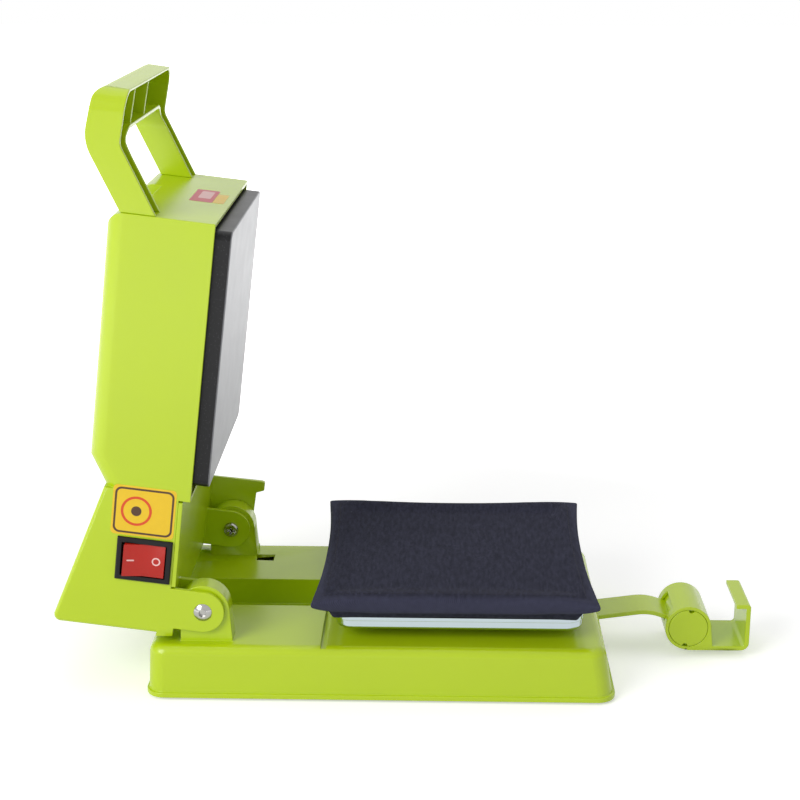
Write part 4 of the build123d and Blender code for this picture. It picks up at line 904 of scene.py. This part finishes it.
def separate_parts(mesh):
    """The points of each separate part of a mesh."""
    work = bmesh.new()
    work.from_mesh(mesh)
    waiting = set(work.verts)
    parts = []
    for first in work.verts:
        if first not in waiting:
            continue
        waiting.remove(first)
        front = [first]
        part = []
        while front:
            vertex = front.pop()
            part.append(vertex.co.copy())
            for edge in vertex.link_edges:
                other = edge.other_vert(vertex)
                if other in waiting:
                    waiting.remove(other)
                    front.append(other)
        parts.append(part)
    work.free()
    return parts


def head_points(screws, outward):
    """A mesh with a point on the middle of each screw's head, and the way that the head faces."""
    places = []
    facings = []
    for part in separate_parts(screws.data):
        low = Vector([min(point[k] for point in part) for k in range(3)])
        high = Vector([max(point[k] for point in part) for k in range(3)])
        middle = (low + high) / 2
        facing = outward(middle)
        reach = max(facing.dot(point) for point in part)
        places.append(middle + facing * (reach - facing.dot(middle)))
        facings.append(facing)
    mesh = bpy.data.meshes.new(screws.name + "_heads")
    mesh.from_pydata(places, [], [])
    stored = mesh.attributes.new("facing", "FLOAT_VECTOR", "POINT")
    for index, facing in enumerate(facings):
        stored.data[index].vector = facing
    return mesh


def recess_tree():
    """The tree that cuts a cross into the head of every screw."""
    tree, inputs = new_tree("cross_recesses", {
        "Screws": "NodeSocketObject", "Span": "NodeSocketFloat", "Width": "NodeSocketFloat",
        "Depth": "NodeSocketFloat", "Material": "NodeSocketMaterial",
    })
    twice = add(tree, "ShaderNodeMath", {0: inputs["Depth"], 1: 2.0}, operation="MULTIPLY")
    long = add(tree, "ShaderNodeCombineXYZ", {
        "X": inputs["Span"], "Y": inputs["Width"], "Z": twice.outputs[0],
    })
    cross = add(tree, "ShaderNodeCombineXYZ", {
        "X": inputs["Width"], "Y": inputs["Span"], "Z": twice.outputs[0],
    })
    blades = add(tree, "GeometryNodeMeshBoolean", operation="UNION")
    for size in (long, cross):
        blade = add(tree, "GeometryNodeMeshCube", {"Size": size.outputs[0]})
        tree.links.new(blade.outputs[0], blades.inputs["Mesh 2"])
    facing = add(tree, "GeometryNodeInputNamedAttribute", {"Name": "facing"}, data_type="FLOAT_VECTOR")
    turned = add(tree, "FunctionNodeAlignRotationToVector", {"Vector": facing.outputs[0]}, axis="Z")
    set_in = add(tree, "GeometryNodeInstanceOnPoints", {
        "Points": inputs["Geometry"], "Instance": blades.outputs[0], "Rotation": turned.outputs[0],
    })
    cutters = add(tree, "GeometryNodeRealizeInstances", {"Geometry": set_in.outputs[0]})
    screws = add(tree, "GeometryNodeObjectInfo", {"Object": inputs["Screws"]})
    cut = add(tree, "GeometryNodeMeshBoolean", {"Mesh 1": screws.outputs["Geometry"]}, operation="DIFFERENCE")
    tree.links.new(cutters.outputs[0], cut.inputs["Mesh 2"])
    return end_tree(tree, cut.outputs[0], inputs["Material"])


def cross_screws(node, body, material, span, outward):
    """Stand screws with cross recesses in for a CAD node."""
    fasteners = bpy.context.scene.press_fasteners
    screws = merged_copy(node, node + "_plain")
    piece = link(node + "_recessed", head_points(screws, outward))
    run_tree(piece, recess_tree(), {
        "Screws": screws, "Span": span, "Width": span * fasteners.wide, "Depth": span * fasteners.deep,
        "Material": material,
    })
    bpy.data.objects.remove(screws)
    soften(piece, 0.12 * MM, 2, 35)
    return finish_piece(piece, body, material, (node,))


class PRESS_OT_hardware(bpy.types.Operator):
    """Give the fasteners their plating"""

    bl_idname = "press.hardware"
    bl_label = "Fasteners"

    def execute(self, context):
        nickel = plated("nickel_plated_steel", "#B2B1AE", (0.12, 0.22), 2.0)
        zinc = plated("zinc_plated_steel", "#C9CBCF", (0.3, 0.42), 1.2)
        dress("hinge_nuts", "hood", nickel, 0.25 * MM)
        fasteners = context.scene.press_fasteners
        cross_screws(
            "hinge_screws", "hood", nickel, fasteners.hinge_span,
            lambda place: Vector((0, -math.copysign(1, place.y), 0)),
        )
        cross_screws(
            "base_screws", "base", zinc, fasteners.base_span, lambda place: Vector((0, 0, -1))
        )
        paint([
            "tray_screws", "latch_pin", "platen_standoffs", "platen_screws", "shield_screws", "board_screws",
            "heat_shield", "thermostat",
        ], zinc)
        return {"FINISHED"}


class PRESS_OT_controls(bpy.types.Operator):
    """Give the rear panel, its window, its buttons and the inlet their finishes"""

    bl_idname = "press.controls"
    bl_label = "Controls and inlet"

    def execute(self, context):
        paint(["control_panel"], moulded("textured_panel_film", "#232427", (0.45, 0.6), 0.7, 0.015))
        paint(["display_window"], moulded("smoked_acrylic", "#1A0708", (0.05, 0.1), 4.0, 0.001))
        paint(["button_set", "button_down", "button_up"], moulded("grey_button_abs", "#A9ABAD", (0.4, 0.5)))
        paint(["power_inlet", "display_module"], moulded("black_inlet_nylon", "#161618", (0.4, 0.5)))
        paint(["control_board"], moulded("green_solder_mask", "#10512A", (0.3, 0.4)))
        paint(["base_bottom_plate"], moulded("grey_powder_coat", "#3A3B3D", (0.5, 0.65), 0.9, 0.03))
        paint(["insulation_mat"], moulded("mineral_wool", "#D9D3C6", (0.9, 1.0), 1.5, 0.6))
        paint(["heating_element"], moulded("polyimide_heater_film", "#B4641E", (0.3, 0.4)))
        paint(["thermal_fuse"], moulded("glazed_fuse_sleeve", "#E6E2DA", (0.2, 0.3)))
        return {"FINISHED"}


def area_light(name, place, target, size, power):
    """A square soft light that looks at a point."""
    data = bpy.data.lights.new(name, "AREA")
    data.size = size
    data.energy = power
    lamp = bpy.data.objects.new(name, data)
    lamp.location = place
    lamp.rotation_euler = (Vector(target) - Vector(place)).to_track_quat("-Z", "Y").to_euler()
    bpy.context.scene.collection.objects.link(lamp)


# Where the photograph was taken from: millimetres from the origin, and angles
CAMERA_PLACE = Vector((15.05, -983.9, 445.5)) * MM
CAMERA_YAW = -0.023577
CAMERA_PITCH = 0.282755
CAMERA_ROLL = -0.001765


def camera_matrix():
    """The camera's place and turn, from its yaw, pitch and roll."""
    level = math.cos(CAMERA_PITCH)
    forward = Vector((math.sin(CAMERA_YAW) * level, math.cos(CAMERA_YAW) * level, -math.sin(CAMERA_PITCH)))
    right = Vector((math.cos(CAMERA_YAW), -math.sin(CAMERA_YAW), 0))
    down = forward.cross(right)
    turned = right * math.cos(CAMERA_ROLL) + down * math.sin(CAMERA_ROLL)
    below = down * math.cos(CAMERA_ROLL) - right * math.sin(CAMERA_ROLL)
    return Matrix.Translation(CAMERA_PLACE) @ Matrix((turned, -below, -forward)).transposed().to_4x4()


def white_to_eye(tree, surface, lit_share):
    """Add light to a surface for what looks at it, so that it shows white but keeps its shadows."""
    path = add(tree, "ShaderNodeLightPath")
    seen = add(tree, "ShaderNodeMath", {
        0: path.outputs["Is Camera Ray"], 1: path.outputs["Is Glossy Ray"],
    }, operation="ADD")
    both = add(tree, "ShaderNodeMath", {
        0: seen.outputs[0], 1: path.outputs["Is Transmission Ray"],
    }, operation="ADD", use_clamp=True)
    glow = add(tree, "ShaderNodeMath", {0: both.outputs[0], 1: lit_share}, operation="MULTIPLY")
    light = add(tree, "ShaderNodeEmission", {"Color": (1, 1, 1, 1), "Strength": glow.outputs[0]})
    return add(tree, "ShaderNodeAddShader", {0: surface, 1: light.outputs[0]}).outputs[0]


class PRESS_OT_stage(bpy.types.Operator):
    """Set the floor, the lights and the camera"""

    bl_idname = "press.stage"
    bl_label = "Stage"

    def execute(self, context):
        stage = context.scene.press_stage
        scene = context.scene
        scene.view_settings.view_transform = "Standard"
        data = bpy.data.cameras.new("camera")
        data.lens = stage.lens
        data.sensor_width = 36.0
        camera = bpy.data.objects.new("camera", data)
        camera.matrix_world = camera_matrix()
        scene.collection.objects.link(camera)
        scene.camera = camera

        half = 6.0
        work = bmesh.new()
        corners = ((-half, -half), (half, -half), (half, half), (-half, half))
        work.faces.new([work.verts.new((x, y, 0)) for x, y in corners])
        mesh = bpy.data.meshes.new("floor")
        work.to_mesh(mesh)
        work.free()
        floor = link("floor", mesh)
        material, tree, shader, place = new_material(
            "white_table_top", Base_Color=linear("#EFEFEF"), Roughness=0.9
        )
        shader.inputs["Specular IOR Level"].default_value = 0.1
        # Shadows show near the press, and the floor fades to white away from it
        away = add(tree, "ShaderNodeVectorMath", {0: place}, operation="LENGTH")
        lit = add(tree, "ShaderNodeMapRange", {
            "Value": away.outputs["Value"], "From Min": 0.35, "From Max": 1.0, "To Min": 0.42, "To Max": 1.5,
        })
        shown = white_to_eye(tree, shader.outputs[0], lit.outputs[0])
        tree.links.new(shown, tree.nodes["Material Output"].inputs["Surface"])
        floor.data.materials.append(material)

        world = bpy.data.worlds.new("soft_room")
        scene.world = world
        world.use_nodes = True
        tree = world.node_tree
        path = add(tree, "ShaderNodeLightPath")
        seen = add(tree, "ShaderNodeMath", {
            0: path.outputs["Is Camera Ray"], 1: path.outputs["Is Glossy Ray"],
        }, operation="ADD")
        both = add(tree, "ShaderNodeMath", {
            0: seen.outputs[0], 1: path.outputs["Is Transmission Ray"],
        }, operation="ADD", use_clamp=True)
        strength = add(tree, "ShaderNodeMapRange", {
            "Value": both.outputs[0], "To Min": stage.world, "To Max": 1.0,
        })
        sky = tree.nodes["Background"]
        sky.inputs["Color"].default_value = (1, 1, 1, 1)
        tree.links.new(strength.outputs[0], sky.inputs["Strength"])

        area_light("key", (-1.3, -1.4, 1.1), (-0.05, 0, 0.15), 1.2, stage.key)
        area_light("top", (0.0, 0.3, 1.9), (0, 0, 0.1), 1.6, stage.top)
        return {"FINISHED"}


OPERATORS = (
    PRESS_OT_shells, PRESS_OT_platen, PRESS_OT_tray, PRESS_OT_pad, PRESS_OT_switch, PRESS_OT_labels,
    PRESS_OT_hardware, PRESS_OT_controls, PRESS_OT_stage,
)


class PRESS_PT_panel(bpy.types.Panel):
    """Lists the steps that dress the press"""

    bl_idname = "PRESS_PT_panel"
    bl_label = "Heat Press"
    bl_space_type = "VIEW_3D"
    bl_region_type = "UI"
    bl_category = "Heat Press"

    def draw(self, context):
        for operator in OPERATORS:
            self.layout.operator(operator.bl_idname)
        for name, group in GROUPS.items():
            box = self.layout.box()
            for value in group.__annotations__:
                box.prop(getattr(context.scene, name), value)


def register():
    for name, group in GROUPS.items():
        bpy.utils.register_class(group)
        setattr(bpy.types.Scene, name, bpy.props.PointerProperty(type=group))
    for operator in OPERATORS:
        bpy.utils.register_class(operator)
    bpy.utils.register_class(PRESS_PT_panel)


def unregister():
    bpy.utils.unregister_class(PRESS_PT_panel)
    for operator in reversed(OPERATORS):
        bpy.utils.unregister_class(operator)
    for name, group in GROUPS.items():
        delattr(bpy.types.Scene, name)
        bpy.utils.unregister_class(group)


def main():
    """Dress the press."""
    register()
    bpy.ops.press.shells()
    bpy.ops.press.platen()
    bpy.ops.press.tray()
    bpy.ops.press.pad()
    bpy.ops.press.switch()
    bpy.ops.press.labels()
    bpy.ops.press.hardware()
    bpy.ops.press.controls()
    bpy.ops.press.stage()


if __name__ == "__main__":
    main()
